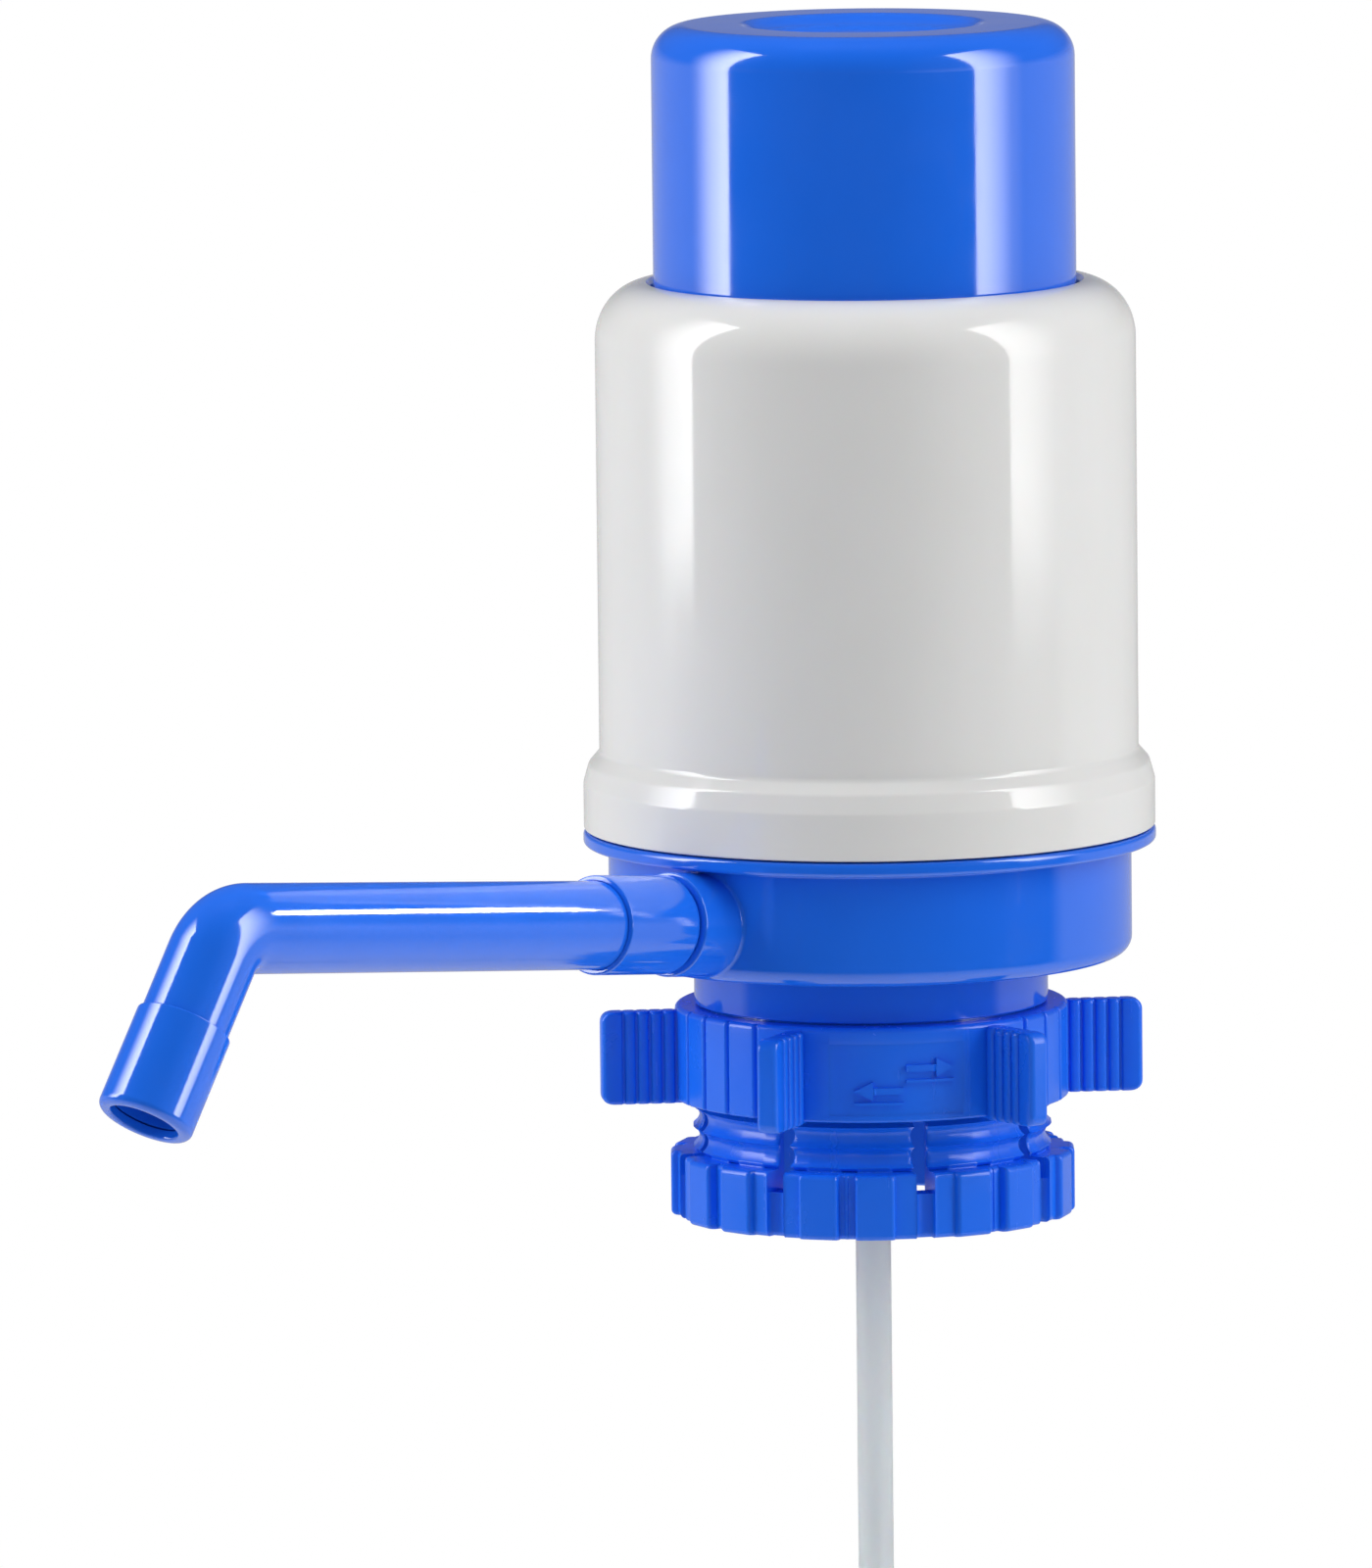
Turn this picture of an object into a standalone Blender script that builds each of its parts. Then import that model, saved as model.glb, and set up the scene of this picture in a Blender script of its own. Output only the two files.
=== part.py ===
"""Hand pump for a large water jug: press cap, bellows, valves, spout, neck clamp and dip tube.

Lengths are in metres. The origin is on the pump's axis at the height of the bottle's mouth,
+Z points up along the axis, and the spout points towards -Y.
"""

import math

import bmesh
import bpy
from mathutils import Matrix, Vector

MM = 0.001

# Clearances shared by every fit
FIT_GAP = 0.3 * MM
SEAT_GAP = 0.3 * MM
CUT_OVERRUN = 1.0 * MM
MERGE_DISTANCE = 0.01 * MM

# Bottle neck that the pump stands on, and the gasket between them
MOUTH_DIAMETER = 55.0 * MM
NECK_PLAY = 0.4 * MM
GASKET_THICKNESS = 3.0 * MM
GASKET_BORE_RADIUS = 19.0 * MM

# Base: neck skirt, chamber and flange
NECK_WALL = 2.25 * MM
NECK_GROOVE_DEPTH = 1.05 * MM
NECK_GROOVE_HEIGHT = 3.1 * MM
NECK_LIP_HEIGHT = 2.0 * MM
NECK_EXPOSED_HEIGHT = 7.95 * MM
FLOOR_THICKNESS = 2.2 * MM
CHAMBER_STEP = 2.95 * MM
CHAMBER_INSET = 1.35 * MM
CHAMBER_HEIGHT = 19.35 * MM
CHAMBER_FILLET = 3.0 * MM
CHAMBER_INNER_FILLET = 1.4 * MM
FLANGE_OVERHANG = 2.85 * MM
FLANGE_THICKNESS = 2.4 * MM
FLANGE_EDGE_FILLET = 0.7 * MM
REGISTER_WALL = 1.6 * MM
REGISTER_HEIGHT = 5.0 * MM

# Housing
HOUSING_RADIUS = 45.85 * MM
HOUSING_WALL = 2.0 * MM
SKIRT_STEP_WIDTH = 2.75 * MM
SKIRT_HEIGHT = 8.5 * MM
SKIRT_STEP_HEIGHT = 4.7 * MM
SKIRT_ROUNDING_SHARE = 0.8
SKIRT_ROUNDING_ANGLE = 65.0
BODY_HEIGHT = 70.0 * MM
SHOULDER_HEIGHT = 9.9 * MM
SHOULDER_LIP_WIDTH = 0.6 * MM
SHOULDER_INNER_ANGLE = 75.0
RIM_DROP = 0.9 * MM
GUIDE_SLEEVE_WALL = 1.7 * MM
GUIDE_SLEEVE_LENGTH = 14.7 * MM

# Press cap
CAP_INSET = 10.0 * MM
CAP_WALL = 2.0 * MM
CAP_EXPOSED_HEIGHT = 43.6 * MM
CAP_FILLET = 5.75 * MM
CAP_SIDE_PLAY = 0.65 * MM
CAP_STOP_WIDTH = 4.6 * MM
CAP_STOP_THICKNESS = 2.4 * MM
CAP_DISH_MARGIN = 9.9 * MM
CAP_DISH_DEPTH = 1.5 * MM
CAP_DISH_SLOPE = 0.8 * MM

# Bellows, its return spring and the seat on top of the spring
BELLOWS_SIDE_PLAY = 0.85 * MM
BELLOWS_FOLD_DEPTH = 5.5 * MM
BELLOWS_WALL = 1.2 * MM
BELLOWS_FLANGE_THICKNESS = 1.7 * MM
BELLOWS_COLLAR_HEIGHT = 8.0 * MM
BELLOWS_HEAD_HEIGHT = 6.0 * MM
BELLOWS_FOLDS = 8
SPRING_WIRE_RADIUS = 0.9 * MM
SPRING_TURNS = 9
SPRING_POINTS_PER_TURN = 8
SPRING_SEAT_THICKNESS = 2.0 * MM
SPRING_SEAT_HUB_HEIGHT = 6.0 * MM
SPRING_SEAT_HUB_WALL = 1.8 * MM

# Ring and screws that hold the bellows down on the base
RETAINER_THICKNESS = 3.0 * MM
RETAINER_FOLD_PLAY = 1.0 * MM
RETAINER_OUTER_MARGIN = 0.6 * MM
SCREW_COUNT = 3
SCREW_FIRST_ANGLE = 90.0
SCREW_SHANK_RADIUS = 1.25 * MM
SCREW_HEAD_RADIUS = 2.8 * MM
SCREW_HEAD_HEIGHT = 1.8 * MM
SCREW_CROWN_SHARE = 0.6
SCREW_SHANK_LENGTH = 13.0 * MM
SCREW_SLOT_WIDTH = 0.8 * MM
SCREW_SLOT_DEPTH = 0.8 * MM
SCREW_POST_WALL = 1.6 * MM
SCREW_TIP_CLEARANCE = 1.0 * MM

# Inlet valve in the middle of the base
INLET_BORE_RADIUS = 2.1 * MM
INLET_DISC_RADIUS = 4.2 * MM
INLET_DISC_THICKNESS = 1.0 * MM
INLET_STEM_RADIUS = 1.0 * MM
INLET_LIFT = 2.0 * MM
CAGE_WALL = 1.5 * MM
CAGE_RADIAL_PLAY = 1.5 * MM
CAGE_TOP_PLAY = 0.5 * MM
CAGE_FOOT_WIDTH = 3.0 * MM
CAGE_FOOT_THICKNESS = 1.2 * MM
CAGE_WINDOW_COUNT = 4
CAGE_WINDOW_WIDTH = 4.0 * MM
CAGE_WINDOW_HEIGHT = 2.0 * MM

# Spout: all of it lies along an axis that rises slightly from the chamber's wall
SPOUT_RISE = 6.0
SPOUT_AXIS_HEIGHT_SHARE = 0.2661
BOSS_RADIUS = 8.8 * MM
BOSS_WALL = 1.7 * MM
BOSS_REACH = 9.0 * MM
PORT_RADIUS = 3.2 * MM
PORT_SEAT_THICKNESS = 1.3 * MM
FLAP_RADIUS = 4.0 * MM
FLAP_THICKNESS = 0.8 * MM
FLAP_BARREL_WALL = 0.5 * MM
FLAP_BARREL_LENGTH = 3.4 * MM
FLAP_PIN_RADIUS = 0.45 * MM
FLAP_PIN_RISE = 4.5 * MM
COLLAR_RADIUS = 8.35 * MM
COLLAR_LENGTH = 18.2 * MM
COLLAR_PLUG_LENGTH = 5.0 * MM
COLLAR_BORE_RADIUS = 4.7 * MM
COLLAR_SOCKET_DEPTH = 14.5 * MM
ORING_WIRE_RADIUS = 0.5 * MM
ORING_GROOVE_OFFSET = 2.3 * MM
SPOUT_TUBE_RADIUS = 7.45 * MM
SPOUT_TUBE_WALL = 1.6 * MM
SPOUT_REACH = 164.4 * MM
SPOUT_BEND = 62.0
SPOUT_BEND_RADIUS = 9.0 * MM
SPOUT_LEG_LENGTH = 33.7 * MM
NOZZLE_RADIUS = 8.1 * MM
NOZZLE_LENGTH = 18.0 * MM
NOZZLE_LIP_THICKNESS = 1.6 * MM

# Clamp ring with its wings
RING_WALL = 2.6 * MM
RING_HEIGHT = 16.1 * MM
RING_LIP_THICKNESS = 2.5 * MM
RING_EDGE_FILLET = 0.6 * MM
WING_COUNT = 6
WING_FIRST_ANGLE = -72.5
WING_REACH = 13.0 * MM
WING_THICKNESS = 3.0 * MM
WING_BEAD_THICKNESS = 3.7 * MM
WING_BEAD_WIDTH = 3.6 * MM
WING_CORNER_RADIUS = 1.8 * MM
WING_TOP_DROP = 0.6 * MM
WING_BOTTOM_DROP = 0.4 * MM
WING_ROOT_DEPTH = 1.3 * MM
FLUTE_COUNT = 4
FLUTE_SPACING_ANGLE = 11.0
FLUTE_WIDTH = 1.0 * MM
FLUTE_DEPTH = 0.7 * MM

# Collet whose fingers the clamp ring closes on the bottle's neck
THREAD_DEPTH = 0.85 * MM
THREAD_PITCH = 3.5 * MM
THREAD_TURNS = 4
COLLET_TRAVEL = 5.0 * MM
COLLET_HEIGHT = 26.0 * MM
COLLET_PLAY = 0.5 * MM
COLLET_WALL = 1.75 * MM
COLLET_GRIP_DEPTH = 0.4 * MM
BAND_STEP = 3.9 * MM
BAND_HEIGHT = 11.1 * MM
BAND_EDGE_FILLET = 0.8 * MM
SLOT_COUNT = 8
SLOT_FIRST_ANGLE = -34.5
SLOT_WIDTH = 3.3 * MM
SLOT_FLOOR_HEIGHT = 7.5 * MM
SLOT_WEB_DEPTH = 2.4 * MM
RIBS_PER_FINGER = 3
RIB_GROOVE_WIDTH = 2.2 * MM
RIB_GROOVE_DEPTH = 1.4 * MM
RIB_SPACING_ANGLE = 14.0

# Dip tube in three lengths, its joiners and its foot
DIP_TUBE_RADIUS = 3.0 * MM
DIP_TUBE_WALL = 0.9 * MM
DIP_SECTION_LENGTH = 150.0 * MM
DIP_SOCKET_DEPTH = 10.0 * MM
DIP_SOCKET_WALL = 1.9 * MM
JOINER_WALL = 1.3 * MM
JOINER_LENGTH = 30.0 * MM
FOOT_LENGTH = 18.0 * MM
FOOT_OVERLAP = 12.0 * MM
FOOT_WALL = 1.3 * MM
FOOT_NOTCH_COUNT = 4
FOOT_NOTCH_WIDTH = 2.0 * MM
FOOT_NOTCH_HEIGHT = 3.0 * MM

# Steps round the turned pieces
LARGE_STEPS = 36
MEDIUM_STEPS = 24
SMALL_STEPS = 14
FILLET_STEPS = 4
SHOULDER_STEPS = 6
ORING_STEPS = 6
BEND_STEPS = 6
TUBE_BEVEL_STEPS = 6

# Heights worked out from the stack of pieces on the bottle's mouth
WELL_UNDERSIDE = GASKET_THICKNESS + SEAT_GAP
WELL_FLOOR = WELL_UNDERSIDE + FLOOR_THICKNESS
CHAMBER_UNDERSIDE = WELL_UNDERSIDE + CHAMBER_STEP
CHAMBER_FLOOR = CHAMBER_UNDERSIDE + FLOOR_THICKNESS
FLANGE_UNDERSIDE = CHAMBER_UNDERSIDE + CHAMBER_HEIGHT
FLANGE_TOP = FLANGE_UNDERSIDE + FLANGE_THICKNESS
REGISTER_TOP = FLANGE_TOP + REGISTER_HEIGHT
HOUSING_BOTTOM = FLANGE_TOP + SEAT_GAP
SKIRT_TOP = HOUSING_BOTTOM + SKIRT_HEIGHT
BODY_BOTTOM = SKIRT_TOP + SKIRT_STEP_HEIGHT
BODY_TOP = BODY_BOTTOM + BODY_HEIGHT
SHOULDER_CREST = BODY_TOP + SHOULDER_HEIGHT
OPENING_RIM = SHOULDER_CREST - RIM_DROP
SLEEVE_BOTTOM = OPENING_RIM - GUIDE_SLEEVE_LENGTH
CAP_TOP = SHOULDER_CREST + CAP_EXPOSED_HEIGHT
CAP_STOP_TOP = SLEEVE_BOTTOM - SEAT_GAP
CAP_BOTTOM = CAP_STOP_TOP - CAP_STOP_THICKNESS
CAP_CEILING = CAP_TOP - CAP_WALL
DISH_CEILING = CAP_CEILING - CAP_DISH_DEPTH
BELLOWS_BOTTOM = FLANGE_TOP + SEAT_GAP
BELLOWS_FLANGE_TOP = BELLOWS_BOTTOM + BELLOWS_FLANGE_THICKNESS
BELLOWS_TOP = DISH_CEILING - SEAT_GAP
RETAINER_BOTTOM = BELLOWS_FLANGE_TOP + SEAT_GAP
RETAINER_TOP = RETAINER_BOTTOM + RETAINER_THICKNESS
SPRING_SEAT_TOP = BELLOWS_TOP - BELLOWS_WALL - SEAT_GAP
SPRING_SEAT_UNDERSIDE = SPRING_SEAT_TOP - SPRING_SEAT_THICKNESS
NECK_GROOVE_TOP = CHAMBER_UNDERSIDE - NECK_EXPOSED_HEIGHT
NECK_GROOVE_BOTTOM = NECK_GROOVE_TOP - NECK_GROOVE_HEIGHT
NECK_BOTTOM = NECK_GROOVE_BOTTOM - NECK_LIP_HEIGHT
RING_TOP = NECK_GROOVE_TOP - FIT_GAP
RING_BOTTOM = RING_TOP - RING_HEIGHT
COLLET_TOP = NECK_BOTTOM - FIT_GAP - COLLET_TRAVEL
COLLET_BOTTOM = COLLET_TOP - COLLET_HEIGHT
BAND_TOP = COLLET_BOTTOM + BAND_HEIGHT
DIP_SOCKET_BOTTOM = -DIP_SOCKET_DEPTH
DIP_TUBE_TOP = WELL_UNDERSIDE - FLOOR_THICKNESS - SEAT_GAP
SPOUT_AXIS_HEIGHT = CHAMBER_UNDERSIDE + CHAMBER_HEIGHT * SPOUT_AXIS_HEIGHT_SHARE

# Radii worked out from the pieces that fit in each other
NECK_BORE_RADIUS = MOUTH_DIAMETER / 2 + NECK_PLAY
NECK_RADIUS = NECK_BORE_RADIUS + NECK_WALL
NECK_GROOVE_RADIUS = NECK_RADIUS - NECK_GROOVE_DEPTH
CHAMBER_RADIUS = HOUSING_RADIUS - CHAMBER_INSET
FLANGE_RADIUS = HOUSING_RADIUS + FLANGE_OVERHANG
SKIRT_RADIUS = HOUSING_RADIUS + SKIRT_STEP_WIDTH
CAP_RADIUS = HOUSING_RADIUS - CAP_INSET
CHAMBER_BORE_RADIUS = CHAMBER_RADIUS - FLOOR_THICKNESS
SKIRT_BORE_RADIUS = SKIRT_RADIUS - HOUSING_WALL
REGISTER_RADIUS = SKIRT_BORE_RADIUS - FIT_GAP
REGISTER_BORE_RADIUS = REGISTER_RADIUS - REGISTER_WALL
OPENING_RADIUS = CAP_RADIUS + CAP_SIDE_PLAY
SLEEVE_RADIUS = OPENING_RADIUS + GUIDE_SLEEVE_WALL
HOUSING_BORE_RADIUS = HOUSING_RADIUS - HOUSING_WALL
CAP_BORE_RADIUS = CAP_RADIUS - CAP_WALL
CAP_STOP_RADIUS = CAP_RADIUS + CAP_STOP_WIDTH
CAP_DISH_RADIUS = CAP_RADIUS - CAP_FILLET - CAP_DISH_MARGIN
BELLOWS_RADIUS = CAP_BORE_RADIUS - BELLOWS_SIDE_PLAY
BELLOWS_ROOT_RADIUS = BELLOWS_RADIUS - BELLOWS_FOLD_DEPTH
BELLOWS_BORE_RADIUS = BELLOWS_ROOT_RADIUS - BELLOWS_WALL
BELLOWS_FLANGE_RADIUS = REGISTER_BORE_RADIUS - FIT_GAP
RETAINER_BORE_RADIUS = BELLOWS_RADIUS + RETAINER_FOLD_PLAY
RETAINER_RADIUS = HOUSING_BORE_RADIUS - RETAINER_OUTER_MARGIN
SCREW_HOLE_RADIUS = SCREW_SHANK_RADIUS + FIT_GAP
SCREW_POST_RADIUS = SCREW_HOLE_RADIUS + SCREW_POST_WALL
SCREW_CIRCLE_RADIUS = (RETAINER_BORE_RADIUS + RETAINER_RADIUS) / 2
BOSS_BORE_RADIUS = BOSS_RADIUS - BOSS_WALL
COLLAR_PLUG_RADIUS = BOSS_BORE_RADIUS - FIT_GAP
COLLAR_SOCKET_RADIUS = SPOUT_TUBE_RADIUS + FIT_GAP
ORING_GROOVE_RADIUS = BOSS_BORE_RADIUS - 2 * (FIT_GAP + ORING_WIRE_RADIUS)
SPOUT_BORE_RADIUS = SPOUT_TUBE_RADIUS - SPOUT_TUBE_WALL
NOZZLE_BORE_RADIUS = SPOUT_TUBE_RADIUS + FIT_GAP
COLLET_BORE_RADIUS = MOUTH_DIAMETER / 2 + COLLET_PLAY
THREAD_ROOT_RADIUS = COLLET_BORE_RADIUS + COLLET_WALL
THREAD_CREST_RADIUS = THREAD_ROOT_RADIUS + THREAD_DEPTH
BAND_RADIUS = THREAD_CREST_RADIUS + BAND_STEP
RING_BORE_RADIUS = THREAD_CREST_RADIUS + FIT_GAP
RING_RADIUS = RING_BORE_RADIUS + RING_WALL
WING_RADIUS = RING_RADIUS + WING_REACH
RING_LIP_RADIUS = NECK_GROOVE_RADIUS + FIT_GAP
DIP_BORE_RADIUS = DIP_TUBE_RADIUS - DIP_TUBE_WALL
DIP_SOCKET_RADIUS = DIP_TUBE_RADIUS + FIT_GAP + DIP_SOCKET_WALL
CAGE_BORE_RADIUS = INLET_DISC_RADIUS + CAGE_RADIAL_PLAY
CAGE_RADIUS = CAGE_BORE_RADIUS + CAGE_WALL
CAGE_FOOT_RADIUS = CAGE_RADIUS + CAGE_FOOT_WIDTH
SPRING_COIL_RADIUS = (CAGE_FOOT_RADIUS + BELLOWS_BORE_RADIUS) / 2
SPRING_SEAT_RADIUS = (SPRING_COIL_RADIUS + BELLOWS_BORE_RADIUS) / 2

# Places along the spout's axis, measured from the pump's axis
BOSS_END = CHAMBER_RADIUS + BOSS_REACH
CAVITY_START = CHAMBER_BORE_RADIUS + FLOOR_THICKNESS + PORT_SEAT_THICKNESS
FLAP_FACE = CAVITY_START + FIT_GAP
FLAP_PIN_PLACE = FLAP_FACE + FLAP_PIN_RADIUS + FIT_GAP + FLAP_BARREL_WALL
COLLAR_START = BOSS_END + SEAT_GAP
COLLAR_END = COLLAR_START + COLLAR_LENGTH
COLLAR_SOCKET_FLOOR = COLLAR_END - COLLAR_SOCKET_DEPTH
SPOUT_TUBE_START = COLLAR_SOCKET_FLOOR + SEAT_GAP

BLUE = (0.02, 0.13, 0.68, 1.0)
BLUE_SATIN = (0.04, 0.15, 0.66, 1.0)
WHITE = (0.80, 0.80, 0.79, 1.0)
MILKY = (0.86, 0.88, 0.90, 1.0)
RUBBER = (0.72, 0.73, 0.75, 1.0)
GREY = (0.55, 0.57, 0.60, 1.0)
STEEL = (0.62, 0.62, 0.64, 1.0)


def clear_scene():
    """Remove every object that the new file came with."""
    for thing in list(bpy.data.objects):
        bpy.data.objects.remove(thing, do_unlink=True)


def new_collection(name):
    """Make a collection in the scene."""
    collection = bpy.data.collections.new(name)
    bpy.context.scene.collection.children.link(collection)
    return collection


def new_material(name, colour, roughness, metallic=0.0):
    """Make a plain material of one colour."""
    material = bpy.data.materials.new(name)
    material.use_nodes = True
    shader = material.node_tree.nodes["Principled BSDF"]
    shader.inputs["Base Color"].default_value = colour
    shader.inputs["Roughness"].default_value = roughness
    shader.inputs["Metallic"].default_value = metallic
    return material


def add_object(name, data, collection):
    """Put a mesh or curve in the scene as a named object."""
    thing = bpy.data.objects.new(name, data)
    collection.objects.link(thing)
    return thing


def finish(thing, colour, roughness, metallic=0.0, parent=None):
    """Give a sub-part its material and its parent."""
    thing.data.materials.clear()
    thing.data.materials.append(new_material(thing.name, colour, roughness, metallic))
    thing.parent = parent
    return thing


def arc(centre, radii, start, end, steps=FILLET_STEPS):
    """Points of an elliptical arc in the profile plane, from one angle to the other in degrees."""
    points = []
    for step in range(steps + 1):
        angle = math.radians(start + (end - start) * step / steps)
        x = centre[0] + radii[0] * math.cos(angle)
        z = centre[1] + radii[1] * math.sin(angle)
        points.append((x, z))
    return points


def turned(name, outline, collection, steps, closed=True):
    """Turn a profile about Z; its points run down the outer side first."""
    mesh = bpy.data.meshes.new(name)
    vertices = [(x, 0.0, z) for x, z in outline]
    edges = [(i, i + 1) for i in range(len(outline) - 1)]
    if closed:
        edges.append((len(outline) - 1, 0))
    mesh.from_pydata(vertices, edges, [])
    thing = add_object(name, mesh, collection)
    screw = thing.modifiers.new("turn", "SCREW")
    screw.axis = "Z"
    screw.angle = math.tau
    screw.steps = steps
    screw.render_steps = steps
    screw.use_merge_vertices = True
    screw.merge_threshold = MERGE_DISTANCE
    screw.use_smooth_shade = True
    return thing


def settle(thing):
    """Replace an object's modifiers or curve by the mesh that they make."""
    graph = bpy.context.evaluated_depsgraph_get()
    mesh = bpy.data.meshes.new_from_object(thing.evaluated_get(graph))
    builder = bmesh.new()
    builder.from_mesh(mesh)
    bmesh.ops.remove_doubles(builder, verts=builder.verts, dist=MERGE_DISTANCE)
    builder.to_mesh(mesh)
    builder.free()
    name = thing.name
    place = thing.matrix_world.copy()
    collection = thing.users_collection[0]
    bpy.data.objects.remove(thing, do_unlink=True)
    solid = add_object(name, mesh, collection)
    solid.matrix_world = place
    return solid


def mesh_object(name, builder, collection):
    """Turn a bmesh into an object."""
    mesh = bpy.data.meshes.new(name)
    builder.to_mesh(mesh)
    builder.free()
    return add_object(name, mesh, collection)


def guide(thing):
    """Mark a cutter or a piece that is joined to another as a construction guide."""
    thing.hide_render = True
    thing.display_type = "WIRE"
    return thing


def combine(thing, tool, operation):
    """Cut a tool from an object, or join it to the object."""
    modifier = thing.modifiers.new(tool.name, "BOOLEAN")
    modifier.operation = operation
    modifier.solver = "EXACT"
    modifier.object = guide(tool)


def add_box(builder, size, place):
    """Add a box of the given size to a bmesh, at a placement matrix."""
    matrix = place @ Matrix.Diagonal((size[0], size[1], size[2], 1.0))
    bmesh.ops.create_cube(builder, size=1.0, matrix=matrix)


def add_cylinder(builder, radius, length, place, steps=SMALL_STEPS):
    """Add a capped cylinder along the placement's Z axis."""
    bmesh.ops.create_cone(
        builder,
        cap_ends=True,
        segments=steps,
        radius1=radius,
        radius2=radius,
        depth=length,
        matrix=place,
    )


def polar(angle, radius, height):
    """Placement at an angle in degrees round the pump's axis, with local X pointing outwards."""
    turn = Matrix.Rotation(math.radians(angle), 4, "Z")
    return turn @ Matrix.Translation(Vector((radius, 0.0, height)))


def spout_frame():
    """Placement of the spout: local Z runs out along it and local Y points up."""
    lift = Matrix.Translation(Vector((0.0, 0.0, SPOUT_AXIS_HEIGHT)))
    return lift @ Matrix.Rotation(math.radians(90.0 - SPOUT_RISE), 4, "X")


def along_spout(distance):
    """Placement at a distance along the spout's axis."""
    return spout_frame() @ Matrix.Translation(Vector((0.0, 0.0, distance)))


def screw_angles():
    """Angles of the retaining screws and of their posts."""
    return [SCREW_FIRST_ANGLE + 360.0 * i / SCREW_COUNT for i in range(SCREW_COUNT)]


def base_outline():
    """Section of the base from the register ring down the outside and back up the inside."""
    outer_wall = [
        (REGISTER_BORE_RADIUS, REGISTER_TOP),
        (REGISTER_RADIUS, REGISTER_TOP),
        (REGISTER_RADIUS, FLANGE_TOP),
        (FLANGE_RADIUS - FLANGE_EDGE_FILLET, FLANGE_TOP),
        (FLANGE_RADIUS, FLANGE_TOP - FLANGE_EDGE_FILLET),
        (FLANGE_RADIUS, FLANGE_UNDERSIDE + FLANGE_EDGE_FILLET),
        (FLANGE_RADIUS - FLANGE_EDGE_FILLET, FLANGE_UNDERSIDE),
        (CHAMBER_RADIUS, FLANGE_UNDERSIDE),
    ]
    fillet_centre = (CHAMBER_RADIUS - CHAMBER_FILLET, CHAMBER_UNDERSIDE + CHAMBER_FILLET)
    corner = arc(fillet_centre, (CHAMBER_FILLET, CHAMBER_FILLET), 0.0, -90.0)
    neck = [
        (NECK_RADIUS, CHAMBER_UNDERSIDE),
        (NECK_RADIUS, NECK_GROOVE_TOP),
        (NECK_GROOVE_RADIUS, NECK_GROOVE_TOP),
        (NECK_GROOVE_RADIUS, NECK_GROOVE_BOTTOM),
        (NECK_RADIUS, NECK_GROOVE_BOTTOM),
        (NECK_RADIUS, NECK_BOTTOM),
        (NECK_BORE_RADIUS, NECK_BOTTOM),
        (NECK_BORE_RADIUS, WELL_UNDERSIDE),
    ]
    socket = [
        (DIP_SOCKET_RADIUS, WELL_UNDERSIDE),
        (DIP_SOCKET_RADIUS, DIP_SOCKET_BOTTOM),
        (DIP_TUBE_RADIUS + FIT_GAP, DIP_SOCKET_BOTTOM),
        (DIP_TUBE_RADIUS + FIT_GAP, DIP_TUBE_TOP + SEAT_GAP),
        (INLET_BORE_RADIUS, DIP_TUBE_TOP + SEAT_GAP),
        (INLET_BORE_RADIUS, WELL_FLOOR),
    ]
    inner_corner = (
        CHAMBER_BORE_RADIUS - CHAMBER_INNER_FILLET,
        CHAMBER_FLOOR + CHAMBER_INNER_FILLET,
    )
    inside = [
        (NECK_BORE_RADIUS, WELL_FLOOR),
        (NECK_BORE_RADIUS, CHAMBER_FLOOR),
        (inner_corner[0], CHAMBER_FLOOR),
        (CHAMBER_BORE_RADIUS, inner_corner[1]),
        (CHAMBER_BORE_RADIUS, FLANGE_TOP),
        (REGISTER_BORE_RADIUS, FLANGE_TOP),
    ]
    return outer_wall + corner + neck + socket + inside


def post_tools(collection):
    """Screw posts inside the base's wall, and the pilot holes down them."""
    posts = bmesh.new()
    pilots = bmesh.new()
    post_height = FLANGE_TOP - CHAMBER_FLOOR
    middle = (FLANGE_TOP + CHAMBER_FLOOR) / 2
    pilot_depth = SCREW_SHANK_LENGTH + SCREW_TIP_CLEARANCE
    for angle in screw_angles():
        place = polar(angle, SCREW_CIRCLE_RADIUS, middle - FIT_GAP)
        add_cylinder(posts, SCREW_POST_RADIUS, post_height, place)
        pilot_place = polar(angle, SCREW_CIRCLE_RADIUS, FLANGE_TOP)
        add_cylinder(pilots, SCREW_HOLE_RADIUS, 2 * pilot_depth, pilot_place)
    return (
        mesh_object("screw_posts", posts, collection),
        mesh_object("screw_pilots", pilots, collection),
    )


def make_base(parts, guides):
    """Base with its chamber, flange, neck skirt, dip tube socket and spout boss."""
    base = turned("pump_base", base_outline(), parts, LARGE_STEPS)
    posts, pilots = post_tools(guides)
    combine(base, posts, "UNION")
    boss_start = CHAMBER_BORE_RADIUS + FLOOR_THICKNESS / 2
    boss = bmesh.new()
    boss_middle = along_spout((boss_start + BOSS_END) / 2)
    add_cylinder(boss, BOSS_RADIUS, BOSS_END - boss_start, boss_middle, MEDIUM_STEPS)
    combine(base, mesh_object("spout_boss", boss, guides), "UNION")
    combine(base, pilots, "DIFFERENCE")
    bores = bmesh.new()
    port_start = CHAMBER_BORE_RADIUS - FLOOR_THICKNESS
    port_middle = along_spout((port_start + BOSS_END) / 2)
    add_cylinder(bores, PORT_RADIUS, BOSS_END - port_start, port_middle)
    combine(base, mesh_object("outlet_port", bores, guides), "DIFFERENCE")
    cavity = bmesh.new()
    cavity_end = BOSS_END + CUT_OVERRUN
    cavity_middle = along_spout((CAVITY_START + cavity_end) / 2)
    add_cylinder(cavity, BOSS_BORE_RADIUS, cavity_end - CAVITY_START, cavity_middle, MEDIUM_STEPS)
    combine(base, mesh_object("boss_cavity", cavity, guides), "DIFFERENCE")
    return finish(base, BLUE, 0.25)


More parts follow.
